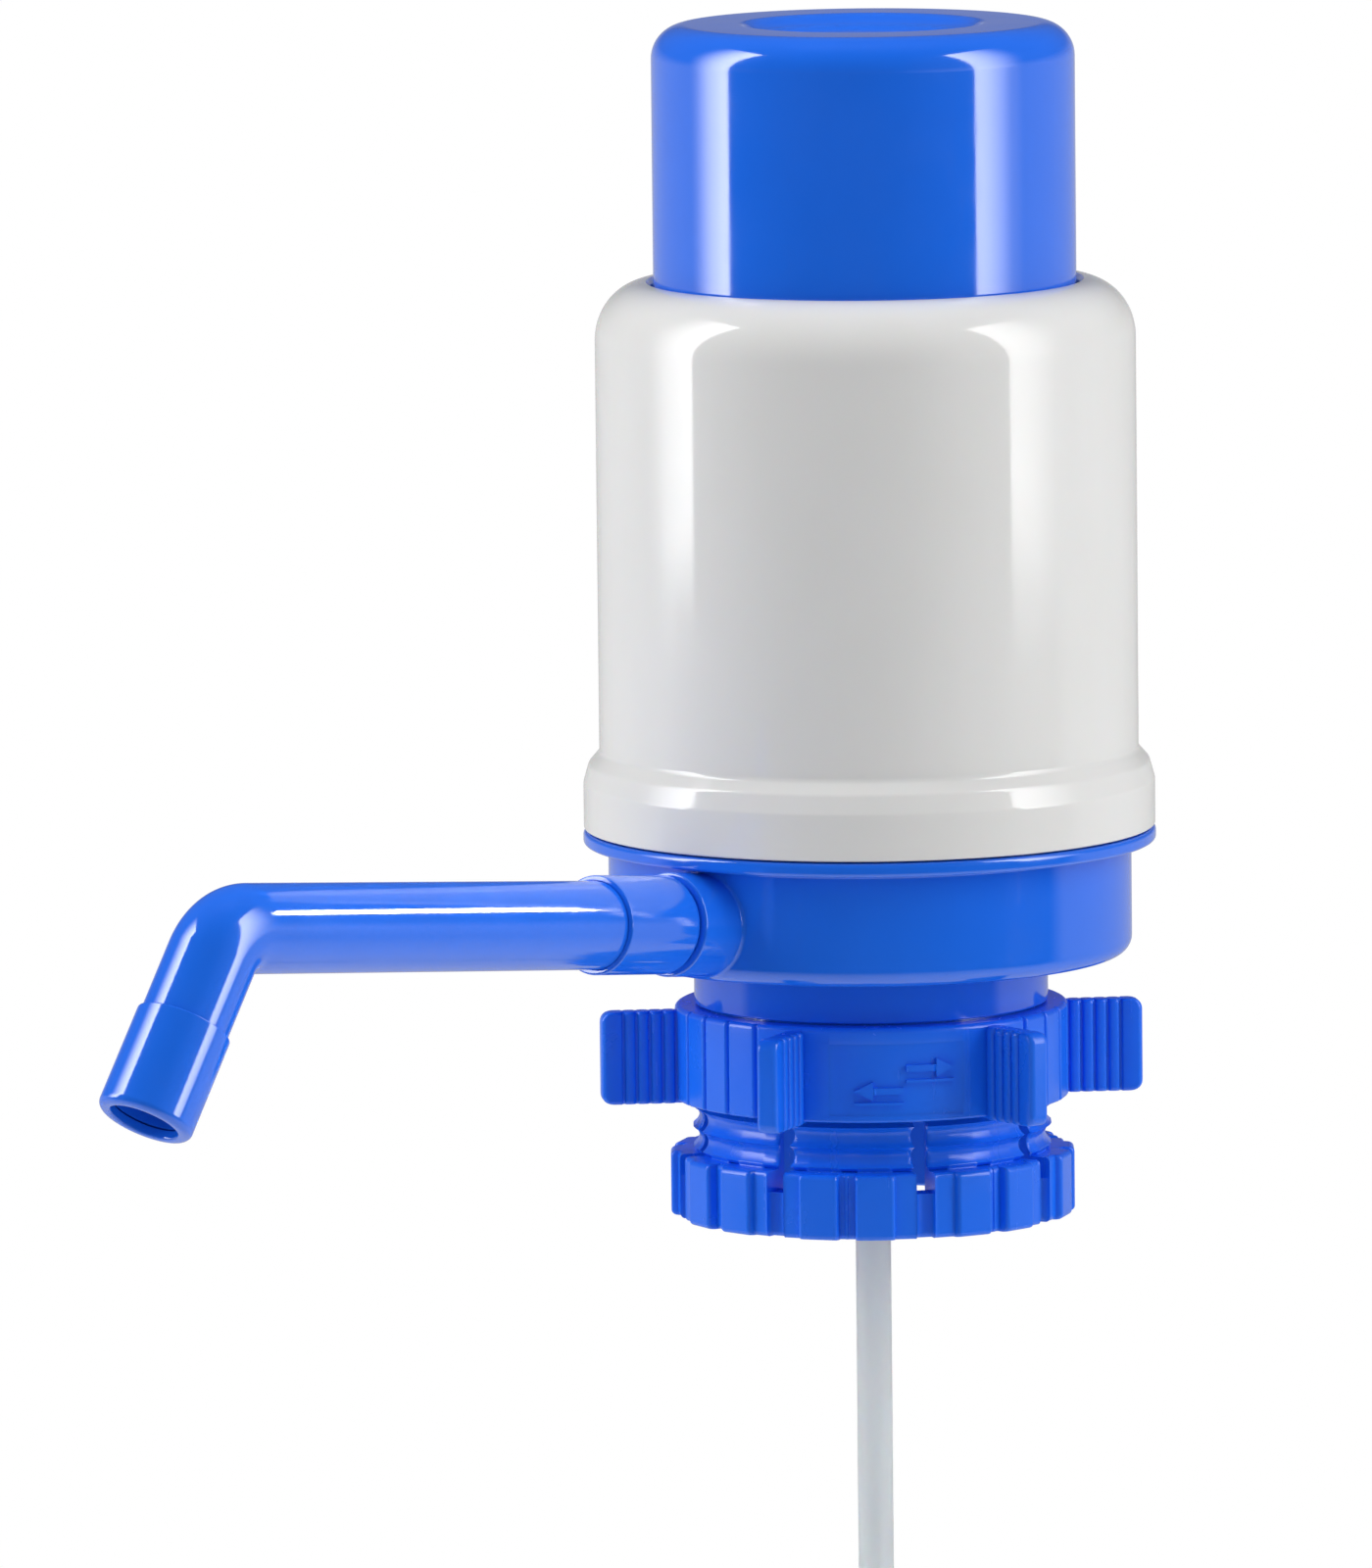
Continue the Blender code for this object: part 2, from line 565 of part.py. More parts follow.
def make_gasket(parts):
    """Rubber washer that the bottle's mouth presses against."""
    outline = [
        (NECK_BORE_RADIUS - FIT_GAP, GASKET_THICKNESS),
        (NECK_BORE_RADIUS - FIT_GAP, 0.0),
        (GASKET_BORE_RADIUS, 0.0),
        (GASKET_BORE_RADIUS, GASKET_THICKNESS),
    ]
    gasket = turned("neck_gasket", outline, parts, LARGE_STEPS)
    return finish(gasket, RUBBER, 0.6)


def housing_outline():
    """Section of the housing: shoulder, body, stepped skirt and the inner guide sleeve."""
    lip_radius = OPENING_RADIUS + SHOULDER_LIP_WIDTH
    shoulder_width = HOUSING_RADIUS - lip_radius
    step_rounding = (SKIRT_STEP_WIDTH, SKIRT_STEP_HEIGHT * SKIRT_ROUNDING_SHARE)
    outside = [(OPENING_RADIUS, OPENING_RIM)]
    outside += arc((lip_radius, BODY_TOP), (shoulder_width, SHOULDER_HEIGHT), 90.0, 0.0, SHOULDER_STEPS)
    outside.append((HOUSING_RADIUS, BODY_BOTTOM))
    outside += arc((HOUSING_RADIUS, SKIRT_TOP), step_rounding, SKIRT_ROUNDING_ANGLE, 0.0)
    outside.append((SKIRT_RADIUS, HOUSING_BOTTOM))
    inside = [
        (SKIRT_BORE_RADIUS, HOUSING_BOTTOM),
        (SKIRT_BORE_RADIUS, SKIRT_TOP - HOUSING_WALL / 2),
        (HOUSING_BORE_RADIUS, BODY_BOTTOM - HOUSING_WALL / 2),
    ]
    inner_width = shoulder_width - HOUSING_WALL
    inner_height = SHOULDER_HEIGHT - HOUSING_WALL
    inside += arc((lip_radius, BODY_TOP), (inner_width, inner_height), 0.0, SHOULDER_INNER_ANGLE)
    sleeve = [
        (SLEEVE_RADIUS, BODY_TOP + inner_height - HOUSING_WALL / 2),
        (SLEEVE_RADIUS, SLEEVE_BOTTOM),
        (OPENING_RADIUS, SLEEVE_BOTTOM),
    ]
    return outside + inside + sleeve


def make_housing(parts):
    """White housing with the opening that guides the cap."""
    housing = turned("upper_housing", housing_outline(), parts, LARGE_STEPS)
    return finish(housing, WHITE, 0.2)


def make_cap(parts):
    """Press cap: a deep cup, dished on top, with a stop flange round its mouth."""
    fillet_centre = (CAP_RADIUS - CAP_FILLET, CAP_TOP - CAP_FILLET)
    inner_fillet = CAP_FILLET - CAP_WALL
    dish_edge = CAP_DISH_RADIUS - CAP_DISH_SLOPE
    outline = [
        (0.0, CAP_TOP - CAP_DISH_DEPTH),
        (dish_edge, CAP_TOP - CAP_DISH_DEPTH),
        (CAP_DISH_RADIUS, CAP_TOP),
    ]
    outline += arc(fillet_centre, (CAP_FILLET, CAP_FILLET), 90.0, 0.0)
    outline += [
        (CAP_RADIUS, CAP_STOP_TOP),
        (CAP_STOP_RADIUS, CAP_STOP_TOP),
        (CAP_STOP_RADIUS, CAP_BOTTOM),
        (CAP_BORE_RADIUS, CAP_BOTTOM),
    ]
    outline += arc(fillet_centre, (inner_fillet, inner_fillet), 0.0, 90.0)
    outline += [
        (CAP_DISH_RADIUS + CAP_WALL, CAP_CEILING),
        (CAP_DISH_RADIUS, DISH_CEILING),
        (0.0, DISH_CEILING),
    ]
    cap = turned("press_cap", outline, parts, LARGE_STEPS, closed=False)
    return finish(cap, BLUE, 0.22)


def bellows_outline():
    """Section of the bellows: closed head, folds down the outside, flange, and back up."""
    head_bottom = BELLOWS_TOP - BELLOWS_HEAD_HEIGHT
    collar_top = BELLOWS_BOTTOM + BELLOWS_COLLAR_HEIGHT
    pitch = (head_bottom - collar_top) / BELLOWS_FOLDS
    outside = [(0.0, BELLOWS_TOP), (BELLOWS_ROOT_RADIUS, BELLOWS_TOP)]
    inside = []
    for fold in range(BELLOWS_FOLDS):
        root = head_bottom - pitch * fold
        outside.append((BELLOWS_ROOT_RADIUS, root))
        outside.append((BELLOWS_RADIUS, root - pitch / 2))
        inside.append((BELLOWS_BORE_RADIUS, root))
        inside.append((BELLOWS_RADIUS - BELLOWS_WALL, root - pitch / 2))
    outside += [
        (BELLOWS_ROOT_RADIUS, collar_top),
        (BELLOWS_ROOT_RADIUS, BELLOWS_FLANGE_TOP),
        (BELLOWS_FLANGE_RADIUS, BELLOWS_FLANGE_TOP),
        (BELLOWS_FLANGE_RADIUS, BELLOWS_BOTTOM),
        (BELLOWS_BORE_RADIUS, BELLOWS_BOTTOM),
        (BELLOWS_BORE_RADIUS, collar_top),
    ]
    inside.reverse()
    closing = [
        (BELLOWS_BORE_RADIUS, BELLOWS_TOP - BELLOWS_WALL),
        (0.0, BELLOWS_TOP - BELLOWS_WALL),
    ]
    return outside + inside + closing


def screw_hole_cutter(name, guides, low, high):
    """Holes for the retaining screws through a flat piece."""
    builder = bmesh.new()
    length = high - low + 2 * CUT_OVERRUN
    for angle in screw_angles():
        place = polar(angle, SCREW_CIRCLE_RADIUS, (low + high) / 2)
        add_cylinder(builder, SCREW_HOLE_RADIUS, length, place)
    return mesh_object(name, builder, guides)


def make_bellows(parts, guides):
    """Bellows that the cap squeezes, closed on top and open to the chamber below."""
    bellows = turned("bellows", bellows_outline(), parts, MEDIUM_STEPS, closed=False)
    holes = screw_hole_cutter("bellows_holes", guides, BELLOWS_BOTTOM, BELLOWS_FLANGE_TOP)
    combine(bellows, holes, "DIFFERENCE")
    return finish(bellows, MILKY, 0.45)


def make_retainer(parts, guides):
    """Ring that presses the flange of the bellows on the base."""
    outline = [
        (RETAINER_RADIUS, RETAINER_TOP),
        (RETAINER_RADIUS, RETAINER_BOTTOM),
        (RETAINER_BORE_RADIUS, RETAINER_BOTTOM),
        (RETAINER_BORE_RADIUS, RETAINER_TOP),
    ]
    ring = turned("bellows_retainer", outline, parts, LARGE_STEPS)
    holes = screw_hole_cutter("retainer_holes", guides, RETAINER_BOTTOM, RETAINER_TOP)
    combine(ring, holes, "DIFFERENCE")
    return finish(ring, GREY, 0.4)


def make_screws(parts, guides):
    """Pan head screws through the retaining ring into the posts of the base."""
    head_bottom = RETAINER_TOP + SEAT_GAP
    head_top = head_bottom + SCREW_HEAD_HEIGHT
    tip = FLANGE_TOP - SCREW_SHANK_LENGTH
    outline = [(0.0, head_top), (SCREW_HEAD_RADIUS * SCREW_CROWN_SHARE, head_top)]
    outline += [
        (SCREW_HEAD_RADIUS, head_top - SCREW_HEAD_HEIGHT / 2),
        (SCREW_HEAD_RADIUS, head_bottom),
        (SCREW_SHANK_RADIUS, head_bottom),
        (SCREW_SHANK_RADIUS, tip + SCREW_SHANK_RADIUS),
        (0.0, tip),
    ]
    screws = []
    for number, angle in enumerate(screw_angles(), start=1):
        screw = turned(f"retainer_screw_{number}", outline, parts, SMALL_STEPS, closed=False)
        screw.matrix_world = polar(angle, SCREW_CIRCLE_RADIUS, 0.0)
        slots = bmesh.new()
        slot_size = (2 * SCREW_HEAD_RADIUS, SCREW_SLOT_WIDTH, 2 * SCREW_SLOT_DEPTH)
        add_box(slots, slot_size, polar(angle, SCREW_CIRCLE_RADIUS, head_top))
        combine(screw, mesh_object(f"screw_slot_{number}", slots, guides), "DIFFERENCE")
        screws.append(finish(screw, STEEL, 0.35, 1.0))
    return screws


def make_spring(parts):
    """Return spring inside the bellows, one unbroken wire with flat end turns."""
    low = WELL_FLOOR + SEAT_GAP + SPRING_WIRE_RADIUS
    high = SPRING_SEAT_UNDERSIDE - SEAT_GAP - SPRING_WIRE_RADIUS
    count = SPRING_TURNS * SPRING_POINTS_PER_TURN
    curve = bpy.data.curves.new("return_spring", "CURVE")
    curve.dimensions = "3D"
    curve.bevel_depth = SPRING_WIRE_RADIUS
    curve.bevel_resolution = 1
    curve.use_fill_caps = True
    spline = curve.splines.new("POLY")
    spline.points.add(count)
    for i in range(count + 1):
        angle = math.tau * i / SPRING_POINTS_PER_TURN
        height = low + (high - low) * i / count
        x = SPRING_COIL_RADIUS * math.cos(angle)
        y = SPRING_COIL_RADIUS * math.sin(angle)
        spline.points[i].co = (x, y, height, 1.0)
    spring = settle(add_object("return_spring", curve, parts))
    return finish(spring, STEEL, 0.3, 1.0)


def make_spring_seat(parts):
    """Disc with a hub that centres the top of the spring under the head of the bellows."""
    inscribed = SPRING_COIL_RADIUS * math.cos(math.pi / SPRING_POINTS_PER_TURN)
    hub_radius = inscribed - SPRING_WIRE_RADIUS - FIT_GAP
    hub_bottom = SPRING_SEAT_UNDERSIDE - SPRING_SEAT_HUB_HEIGHT
    outline = [
        (0.0, SPRING_SEAT_TOP),
        (SPRING_SEAT_RADIUS, SPRING_SEAT_TOP),
        (SPRING_SEAT_RADIUS, SPRING_SEAT_UNDERSIDE),
        (hub_radius, SPRING_SEAT_UNDERSIDE),
        (hub_radius, hub_bottom),
        (hub_radius - SPRING_SEAT_HUB_WALL, hub_bottom),
        (hub_radius - SPRING_SEAT_HUB_WALL, SPRING_SEAT_UNDERSIDE),
        (0.0, SPRING_SEAT_UNDERSIDE),
    ]
    seat = turned("spring_seat", outline, parts, MEDIUM_STEPS, closed=False)
    return finish(seat, GREY, 0.4)


def make_inlet_valve(parts, guides):
    """Poppet over the dip tube's bore, and the cage that it rises in."""
    disc_bottom = WELL_FLOOR + SEAT_GAP
    disc_top = disc_bottom + INLET_DISC_THICKNESS
    ceiling = disc_top + INLET_LIFT + CAGE_TOP_PLAY
    cage_top = ceiling + CAGE_WALL
    stem_hole = INLET_STEM_RADIUS + FIT_GAP
    cage_outline = [
        (stem_hole, cage_top),
        (CAGE_RADIUS, cage_top),
        (CAGE_RADIUS, disc_bottom + CAGE_FOOT_THICKNESS),
        (CAGE_FOOT_RADIUS, disc_bottom + CAGE_FOOT_THICKNESS),
        (CAGE_FOOT_RADIUS, disc_bottom),
        (CAGE_BORE_RADIUS, disc_bottom),
        (CAGE_BORE_RADIUS, ceiling),
        (stem_hole, ceiling),
    ]
    cage = turned("inlet_valve_cage", cage_outline, parts, MEDIUM_STEPS)
    windows = bmesh.new()
    window_height = ceiling - CAGE_WINDOW_HEIGHT / 2
    window_size = (2 * CAGE_WALL + CUT_OVERRUN, CAGE_WINDOW_WIDTH, CAGE_WINDOW_HEIGHT)
    for i in range(CAGE_WINDOW_COUNT):
        angle = 360.0 * i / CAGE_WINDOW_COUNT
        place = polar(angle, CAGE_RADIUS - CAGE_WALL / 2, window_height)
        add_box(windows, window_size, place)
    combine(cage, mesh_object("cage_windows", windows, guides), "DIFFERENCE")
    stem_top = cage_top + INLET_LIFT
    poppet_outline = [
        (0.0, stem_top),
        (INLET_STEM_RADIUS, stem_top),
        (INLET_STEM_RADIUS, disc_top),
        (INLET_DISC_RADIUS, disc_top),
        (INLET_DISC_RADIUS, disc_bottom),
        (0.0, disc_bottom),
    ]
    poppet = turned("inlet_poppet", poppet_outline, parts, MEDIUM_STEPS, closed=False)
    return finish(cage, GREY, 0.4), finish(poppet, RUBBER, 0.5)


def make_outlet_valve(parts, guides):
    """Flap that closes the outlet port, and the pin that it swings on."""
    place = along_spout(FLAP_PIN_PLACE) @ Matrix.Translation(Vector((0.0, FLAP_PIN_RISE, 0.0)))
    across = Matrix.Rotation(math.radians(90.0), 4, "Y")
    highest = FLAP_PIN_RISE + FLAP_PIN_RADIUS
    half_chord = math.sqrt(BOSS_BORE_RADIUS**2 - highest**2)
    pin_builder = bmesh.new()
    pin_length = 2 * (half_chord - FIT_GAP)
    add_cylinder(pin_builder, FLAP_PIN_RADIUS, pin_length, across)
    pin = mesh_object("flap_pin", pin_builder, parts)
    pin.matrix_world = place
    flap_builder = bmesh.new()
    disc_offset = FLAP_FACE + FLAP_THICKNESS / 2 - FLAP_PIN_PLACE
    disc_place = Matrix.Translation(Vector((0.0, -FLAP_PIN_RISE, disc_offset)))
    add_cylinder(flap_builder, FLAP_RADIUS, FLAP_THICKNESS, disc_place, MEDIUM_STEPS)
    flap = mesh_object("outlet_flap", flap_builder, parts)
    flap.matrix_world = place
    barrel_builder = bmesh.new()
    barrel_radius = FLAP_PIN_RADIUS + FIT_GAP + FLAP_BARREL_WALL
    add_cylinder(barrel_builder, barrel_radius, FLAP_BARREL_LENGTH, across)
    barrel = mesh_object("flap_barrel", barrel_builder, guides)
    barrel.matrix_world = place
    combine(flap, barrel, "UNION")
    bore_builder = bmesh.new()
    bore_length = FLAP_BARREL_LENGTH + 2 * CUT_OVERRUN
    add_cylinder(bore_builder, FLAP_PIN_RADIUS + FIT_GAP, bore_length, across)
    bore = mesh_object("flap_bore", bore_builder, guides)
    bore.matrix_world = place
    combine(flap, bore, "DIFFERENCE")
    return finish(flap, RUBBER, 0.5), finish(pin, STEEL, 0.3, 1.0)


def make_collar(parts, spout_axis):
    """Collar that turns in the boss and holds the spout tube."""
    plug_start = COLLAR_START - COLLAR_PLUG_LENGTH
    groove_middle = COLLAR_START - ORING_GROOVE_OFFSET
    groove_half = ORING_WIRE_RADIUS + FIT_GAP
    outline = [
        (COLLAR_SOCKET_RADIUS, COLLAR_END),
        (COLLAR_RADIUS, COLLAR_END),
        (COLLAR_RADIUS, COLLAR_START),
        (COLLAR_PLUG_RADIUS, COLLAR_START),
        (COLLAR_PLUG_RADIUS, groove_middle + groove_half),
        (ORING_GROOVE_RADIUS, groove_middle + groove_half),
        (ORING_GROOVE_RADIUS, groove_middle - groove_half),
        (COLLAR_PLUG_RADIUS, groove_middle - groove_half),
        (COLLAR_PLUG_RADIUS, plug_start),
        (COLLAR_BORE_RADIUS, plug_start),
        (COLLAR_BORE_RADIUS, COLLAR_SOCKET_FLOOR),
        (COLLAR_SOCKET_RADIUS, COLLAR_SOCKET_FLOOR),
    ]
    collar = turned("spout_collar", outline, parts, MEDIUM_STEPS)
    ring_centre = (ORING_GROOVE_RADIUS + FIT_GAP + ORING_WIRE_RADIUS, groove_middle)
    wire = (ORING_WIRE_RADIUS, ORING_WIRE_RADIUS)
    ring_outline = arc(ring_centre, wire, 90.0, -270.0, ORING_STEPS)[:-1]
    oring = turned("collar_oring", ring_outline, parts, MEDIUM_STEPS)
    return (
        finish(collar, BLUE, 0.25, parent=spout_axis),
        finish(oring, RUBBER, 0.5, parent=spout_axis),
    )


def spout_path(overrun):
    """Centre line of the bent spout tube, in the spout's own frame."""
    tangent = SPOUT_BEND_RADIUS * math.tan(math.radians(SPOUT_BEND) / 2)
    bend_start = SPOUT_REACH - tangent
    points = [(0.0, 0.0, SPOUT_TUBE_START - overrun), (0.0, 0.0, bend_start)]
    for step in range(1, BEND_STEPS + 1):
        angle = math.radians(SPOUT_BEND) * step / BEND_STEPS
        out = bend_start + SPOUT_BEND_RADIUS * math.sin(angle)
        down = SPOUT_BEND_RADIUS * (1.0 - math.cos(angle))
        points.append((0.0, -down, out))
    leg = SPOUT_LEG_LENGTH - tangent + overrun
    last = points[-1]
    angle = math.radians(SPOUT_BEND)
    points.append((0.0, last[1] - leg * math.sin(angle), last[2] + leg * math.cos(angle)))
    return points


def tube_along(name, points, radius, collection):
    """Solid round bar along a path, as a closed mesh."""
    curve = bpy.data.curves.new(name, "CURVE")
    curve.dimensions = "3D"
    curve.bevel_depth = radius
    curve.bevel_resolution = TUBE_BEVEL_STEPS
    curve.use_fill_caps = True
    spline = curve.splines.new("POLY")
    spline.points.add(len(points) - 1)
    for point, place in zip(spline.points, points):
        point.co = (*place, 1.0)
    return settle(add_object(name, curve, collection))


def make_spout_tube(parts, guides, spout_axis):
    """Bent tube that carries the water from the collar to the nozzle."""
    tube = tube_along("spout_tube", spout_path(0.0), SPOUT_TUBE_RADIUS, parts)
    bore = tube_along("spout_bore", spout_path(CUT_OVERRUN), SPOUT_BORE_RADIUS, guides)
    bore.parent = spout_axis
    combine(tube, bore, "DIFFERENCE")
    return finish(tube, BLUE, 0.25, parent=spout_axis)


def make_nozzle(parts, spout_axis):
    """Sleeve pushed on the end of the spout tube."""
    angle = math.radians(SPOUT_BEND)
    end = SPOUT_LEG_LENGTH + NOZZLE_LIP_THICKNESS + SEAT_GAP
    outline = [
        (NOZZLE_BORE_RADIUS, NOZZLE_LENGTH),
        (NOZZLE_RADIUS, NOZZLE_LENGTH),
        (NOZZLE_RADIUS, 0.0),
        (SPOUT_BORE_RADIUS, 0.0),
        (SPOUT_BORE_RADIUS, NOZZLE_LIP_THICKNESS),
        (NOZZLE_BORE_RADIUS, NOZZLE_LIP_THICKNESS),
    ]
    nozzle = turned("nozzle_sleeve", outline, parts, MEDIUM_STEPS)
    finish(nozzle, BLUE, 0.25, parent=spout_axis)
    nozzle.location = (0.0, -end * math.sin(angle), SPOUT_REACH + end * math.cos(angle))
    nozzle.rotation_euler = (math.pi + angle, 0.0, 0.0)
    return nozzle


def ring_outline():
    """Section of the clamp ring with the lip that keeps it on the base's neck."""
    lip_bottom = RING_TOP - RING_LIP_THICKNESS
    return [
        (RING_LIP_RADIUS, RING_TOP),
        (RING_RADIUS - RING_EDGE_FILLET, RING_TOP),
        (RING_RADIUS, RING_TOP - RING_EDGE_FILLET),
        (RING_RADIUS, RING_BOTTOM + RING_EDGE_FILLET),
        (RING_RADIUS - RING_EDGE_FILLET, RING_BOTTOM),
        (RING_BORE_RADIUS, RING_BOTTOM),
        (RING_BORE_RADIUS, lip_bottom),
        (RING_LIP_RADIUS, lip_bottom),
    ]


def wing_blank(name, thickness, inner, outer, collection):
    """Upright plate with rounded outer corners, standing along local X."""
    top = RING_TOP - WING_TOP_DROP
    bottom = RING_BOTTOM - WING_BOTTOM_DROP
    radius = WING_CORNER_RADIUS
    corner = (radius, radius)
    outline = [(inner, top)]
    outline += arc((outer - radius, top - radius), corner, 90.0, 0.0, 3)
    outline += arc((outer - radius, bottom + radius), corner, 0.0, -90.0, 3)
    outline.append((inner, bottom))
    curve = bpy.data.curves.new(name, "CURVE")
    curve.dimensions = "2D"
    curve.fill_mode = "BOTH"
    curve.extrude = thickness / 2
    spline = curve.splines.new("POLY")
    spline.points.add(len(outline) - 1)
    for point, (x, z) in zip(spline.points, outline):
        point.co = (x, z, 0.0, 1.0)
    spline.use_cyclic_u = True
    blank = settle(add_object(name, curve, collection))
    blank.data.transform(Matrix.Rotation(math.radians(90.0), 4, "X"))
    return blank


def make_clamp_ring(parts, guides):
    """Clamp ring with six finger wings and shallow flutes on alternate sides."""
    ring = turned("clamp_ring", ring_outline(), parts, LARGE_STEPS)
    root = RING_RADIUS - WING_ROOT_DEPTH
    for i in range(WING_COUNT):
        angle = WING_FIRST_ANGLE + 360.0 * i / WING_COUNT
        wing_end = WING_RADIUS - WING_CORNER_RADIUS / 2
        wing = wing_blank(f"wing_{i}", WING_THICKNESS, root, wing_end, guides)
        bead_start = WING_RADIUS - WING_BEAD_WIDTH
        bead = wing_blank(f"wing_bead_{i}", WING_BEAD_THICKNESS, bead_start, WING_RADIUS, guides)
        wing.matrix_world = polar(angle, 0.0, 0.0)
        bead.matrix_world = polar(angle, 0.0, 0.0)
        combine(ring, wing, "UNION")
        combine(ring, bead, "UNION")
    flutes = bmesh.new()
    size = (2 * FLUTE_DEPTH, FLUTE_WIDTH, RING_HEIGHT + 2 * CUT_OVERRUN)
    middle = (RING_TOP + RING_BOTTOM) / 2
    sector = 360.0 / WING_COUNT
    for side in range(0, WING_COUNT, 2):
        centre = WING_FIRST_ANGLE - sector / 2 + sector * side
        for i in range(FLUTE_COUNT):
            angle = centre + FLUTE_SPACING_ANGLE * (i - (FLUTE_COUNT - 1) / 2)
            add_box(flutes, size, polar(angle, RING_RADIUS, middle))
    combine(ring, mesh_object("ring_flutes", flutes, guides), "DIFFERENCE")
    return finish(ring, BLUE_SATIN, 0.4)


def collet_outline():
    """Section of the collet: threaded fingers above a thick ribbed band."""
    grip_top = COLLET_TOP - THREAD_PITCH
    outline = [(COLLET_BORE_RADIUS, COLLET_TOP), (THREAD_ROOT_RADIUS, COLLET_TOP)]
    for turn in range(THREAD_TURNS):
        crest = COLLET_TOP - THREAD_PITCH * (turn + 0.5)
        outline.append((THREAD_CREST_RADIUS, crest))
        outline.append((THREAD_ROOT_RADIUS, crest - THREAD_PITCH / 2))
    outline += [
        (THREAD_ROOT_RADIUS, BAND_TOP),
        (BAND_RADIUS - BAND_EDGE_FILLET, BAND_TOP),
        (BAND_RADIUS, BAND_TOP - BAND_EDGE_FILLET),
        (BAND_RADIUS, COLLET_BOTTOM + BAND_EDGE_FILLET),
        (BAND_RADIUS - BAND_EDGE_FILLET, COLLET_BOTTOM),
        (COLLET_BORE_RADIUS, COLLET_BOTTOM),
        (COLLET_BORE_RADIUS, grip_top - THREAD_PITCH),
        (COLLET_BORE_RADIUS - COLLET_GRIP_DEPTH, grip_top - THREAD_PITCH / 2),
        (COLLET_BORE_RADIUS, grip_top),
    ]
    return outline


def make_collet(parts, guides):
    """Collet with eight slotted fingers, their recessed webs and blocky ribs."""
    collet = turned("collet", collet_outline(), parts, LARGE_STEPS)
    cutter = bmesh.new()
    slot_floor = COLLET_BOTTOM + SLOT_FLOOR_HEIGHT
    slot_top = COLLET_TOP + CUT_OVERRUN
    radial = BAND_RADIUS - COLLET_BORE_RADIUS + 2 * CUT_OVERRUN
    middle_radius = (BAND_RADIUS + COLLET_BORE_RADIUS) / 2
    slot_size = (radial, SLOT_WIDTH, slot_top - slot_floor)
    web_bottom = COLLET_BOTTOM - CUT_OVERRUN
    web_size = (2 * SLOT_WEB_DEPTH, SLOT_WIDTH, slot_floor - web_bottom)
    groove_size = (2 * RIB_GROOVE_DEPTH, RIB_GROOVE_WIDTH, BAND_HEIGHT + 2 * CUT_OVERRUN)
    webs = bmesh.new()
    for i in range(SLOT_COUNT):
        angle = SLOT_FIRST_ANGLE + 360.0 * i / SLOT_COUNT
        add_box(cutter, slot_size, polar(angle, middle_radius, (slot_floor + slot_top) / 2))
        add_box(webs, web_size, polar(angle, BAND_RADIUS, (slot_floor + web_bottom) / 2))
        finger = angle + 180.0 / SLOT_COUNT
        for rib in range(RIBS_PER_FINGER - 1):
            groove = finger + RIB_SPACING_ANGLE * (rib - (RIBS_PER_FINGER - 2) / 2)
            place = polar(groove, BAND_RADIUS, BAND_TOP - BAND_HEIGHT / 2)
            add_box(cutter, groove_size, place)
    combine(collet, mesh_object("collet_slots", cutter, guides), "DIFFERENCE")
    combine(collet, mesh_object("collet_webs", webs, guides), "DIFFERENCE")
    return finish(collet, BLUE_SATIN, 0.4)


def pipe_outline(outer, inner, low, high):
    """Section of a plain pipe."""
    return [(inner, high), (outer, high), (outer, low), (inner, low)]


def make_dip_tube(parts, guides):
    """Three lengths of stiff tube, two joiners and a notched foot."""
    names = ("dip_tube_upper", "dip_tube_middle", "dip_tube_lower")
    made = []
    top = DIP_TUBE_TOP
    joints = []
    for name in names:
        low = top - DIP_SECTION_LENGTH
        outline = pipe_outline(DIP_TUBE_RADIUS, DIP_BORE_RADIUS, low, top)
        made.append(finish(turned(name, outline, parts, SMALL_STEPS), MILKY, 0.35))
        joints.append(low - SEAT_GAP / 2)
        top = low - SEAT_GAP
    inner = DIP_TUBE_RADIUS + FIT_GAP
    for name, joint in zip(("tube_joiner_upper", "tube_joiner_lower"), joints):
        half = JOINER_LENGTH / 2
        outline = pipe_outline(inner + JOINER_WALL, inner, joint - half, joint + half)
        made.append(finish(turned(name, outline, parts, SMALL_STEPS), MILKY, 0.4))
    tube_end = top + SEAT_GAP
    foot_top = tube_end + FOOT_OVERLAP
    foot_bottom = foot_top - FOOT_LENGTH
    outline = pipe_outline(inner + FOOT_WALL, inner, foot_bottom, foot_top)
    foot = turned("tube_foot", outline, parts, SMALL_STEPS)
    notches = bmesh.new()
    size = (2 * FOOT_WALL + CUT_OVERRUN, FOOT_NOTCH_WIDTH, 2 * FOOT_NOTCH_HEIGHT)
    for i in range(FOOT_NOTCH_COUNT):
        angle = 360.0 * i / FOOT_NOTCH_COUNT
        add_box(notches, size, polar(angle, inner + FOOT_WALL / 2, foot_bottom))
    combine(foot, mesh_object("foot_notches", notches, guides), "DIFFERENCE")
    made.append(finish(foot, BLUE, 0.35))
    return made


def main():
    """Build every sub-part of the pump."""
    clear_scene()
    parts = new_collection("water_jug_hand_pump")
    guides = new_collection("construction_guides")
    spout_axis = add_object("spout_axis", None, parts)
    spout_axis.matrix_world = spout_frame()
    bpy.context.view_layer.update()
    make_base(parts, guides)
    make_gasket(parts)
    make_housing(parts)
    make_cap(parts)
    make_bellows(parts, guides)
    make_retainer(parts, guides)
    make_screws(parts, guides)
    make_spring(parts)
    make_spring_seat(parts)
    make_inlet_valve(parts, guides)
    make_outlet_valve(parts, guides)
    make_collar(parts, spout_axis)
    make_spout_tube(parts, guides, spout_axis)
    make_nozzle(parts, spout_axis)
    make_clamp_ring(parts, guides)
    make_collet(parts, guides)
    make_dip_tube(parts, guides)


main()
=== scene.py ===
"""Looks of the hand pump for a large water jug: mouldings, finishes, studio light and camera.

Lengths are in metres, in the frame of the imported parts: +Z up along the pump's axis, the origin
at the height of the bottle's mouth, and the spout towards -Y.
"""

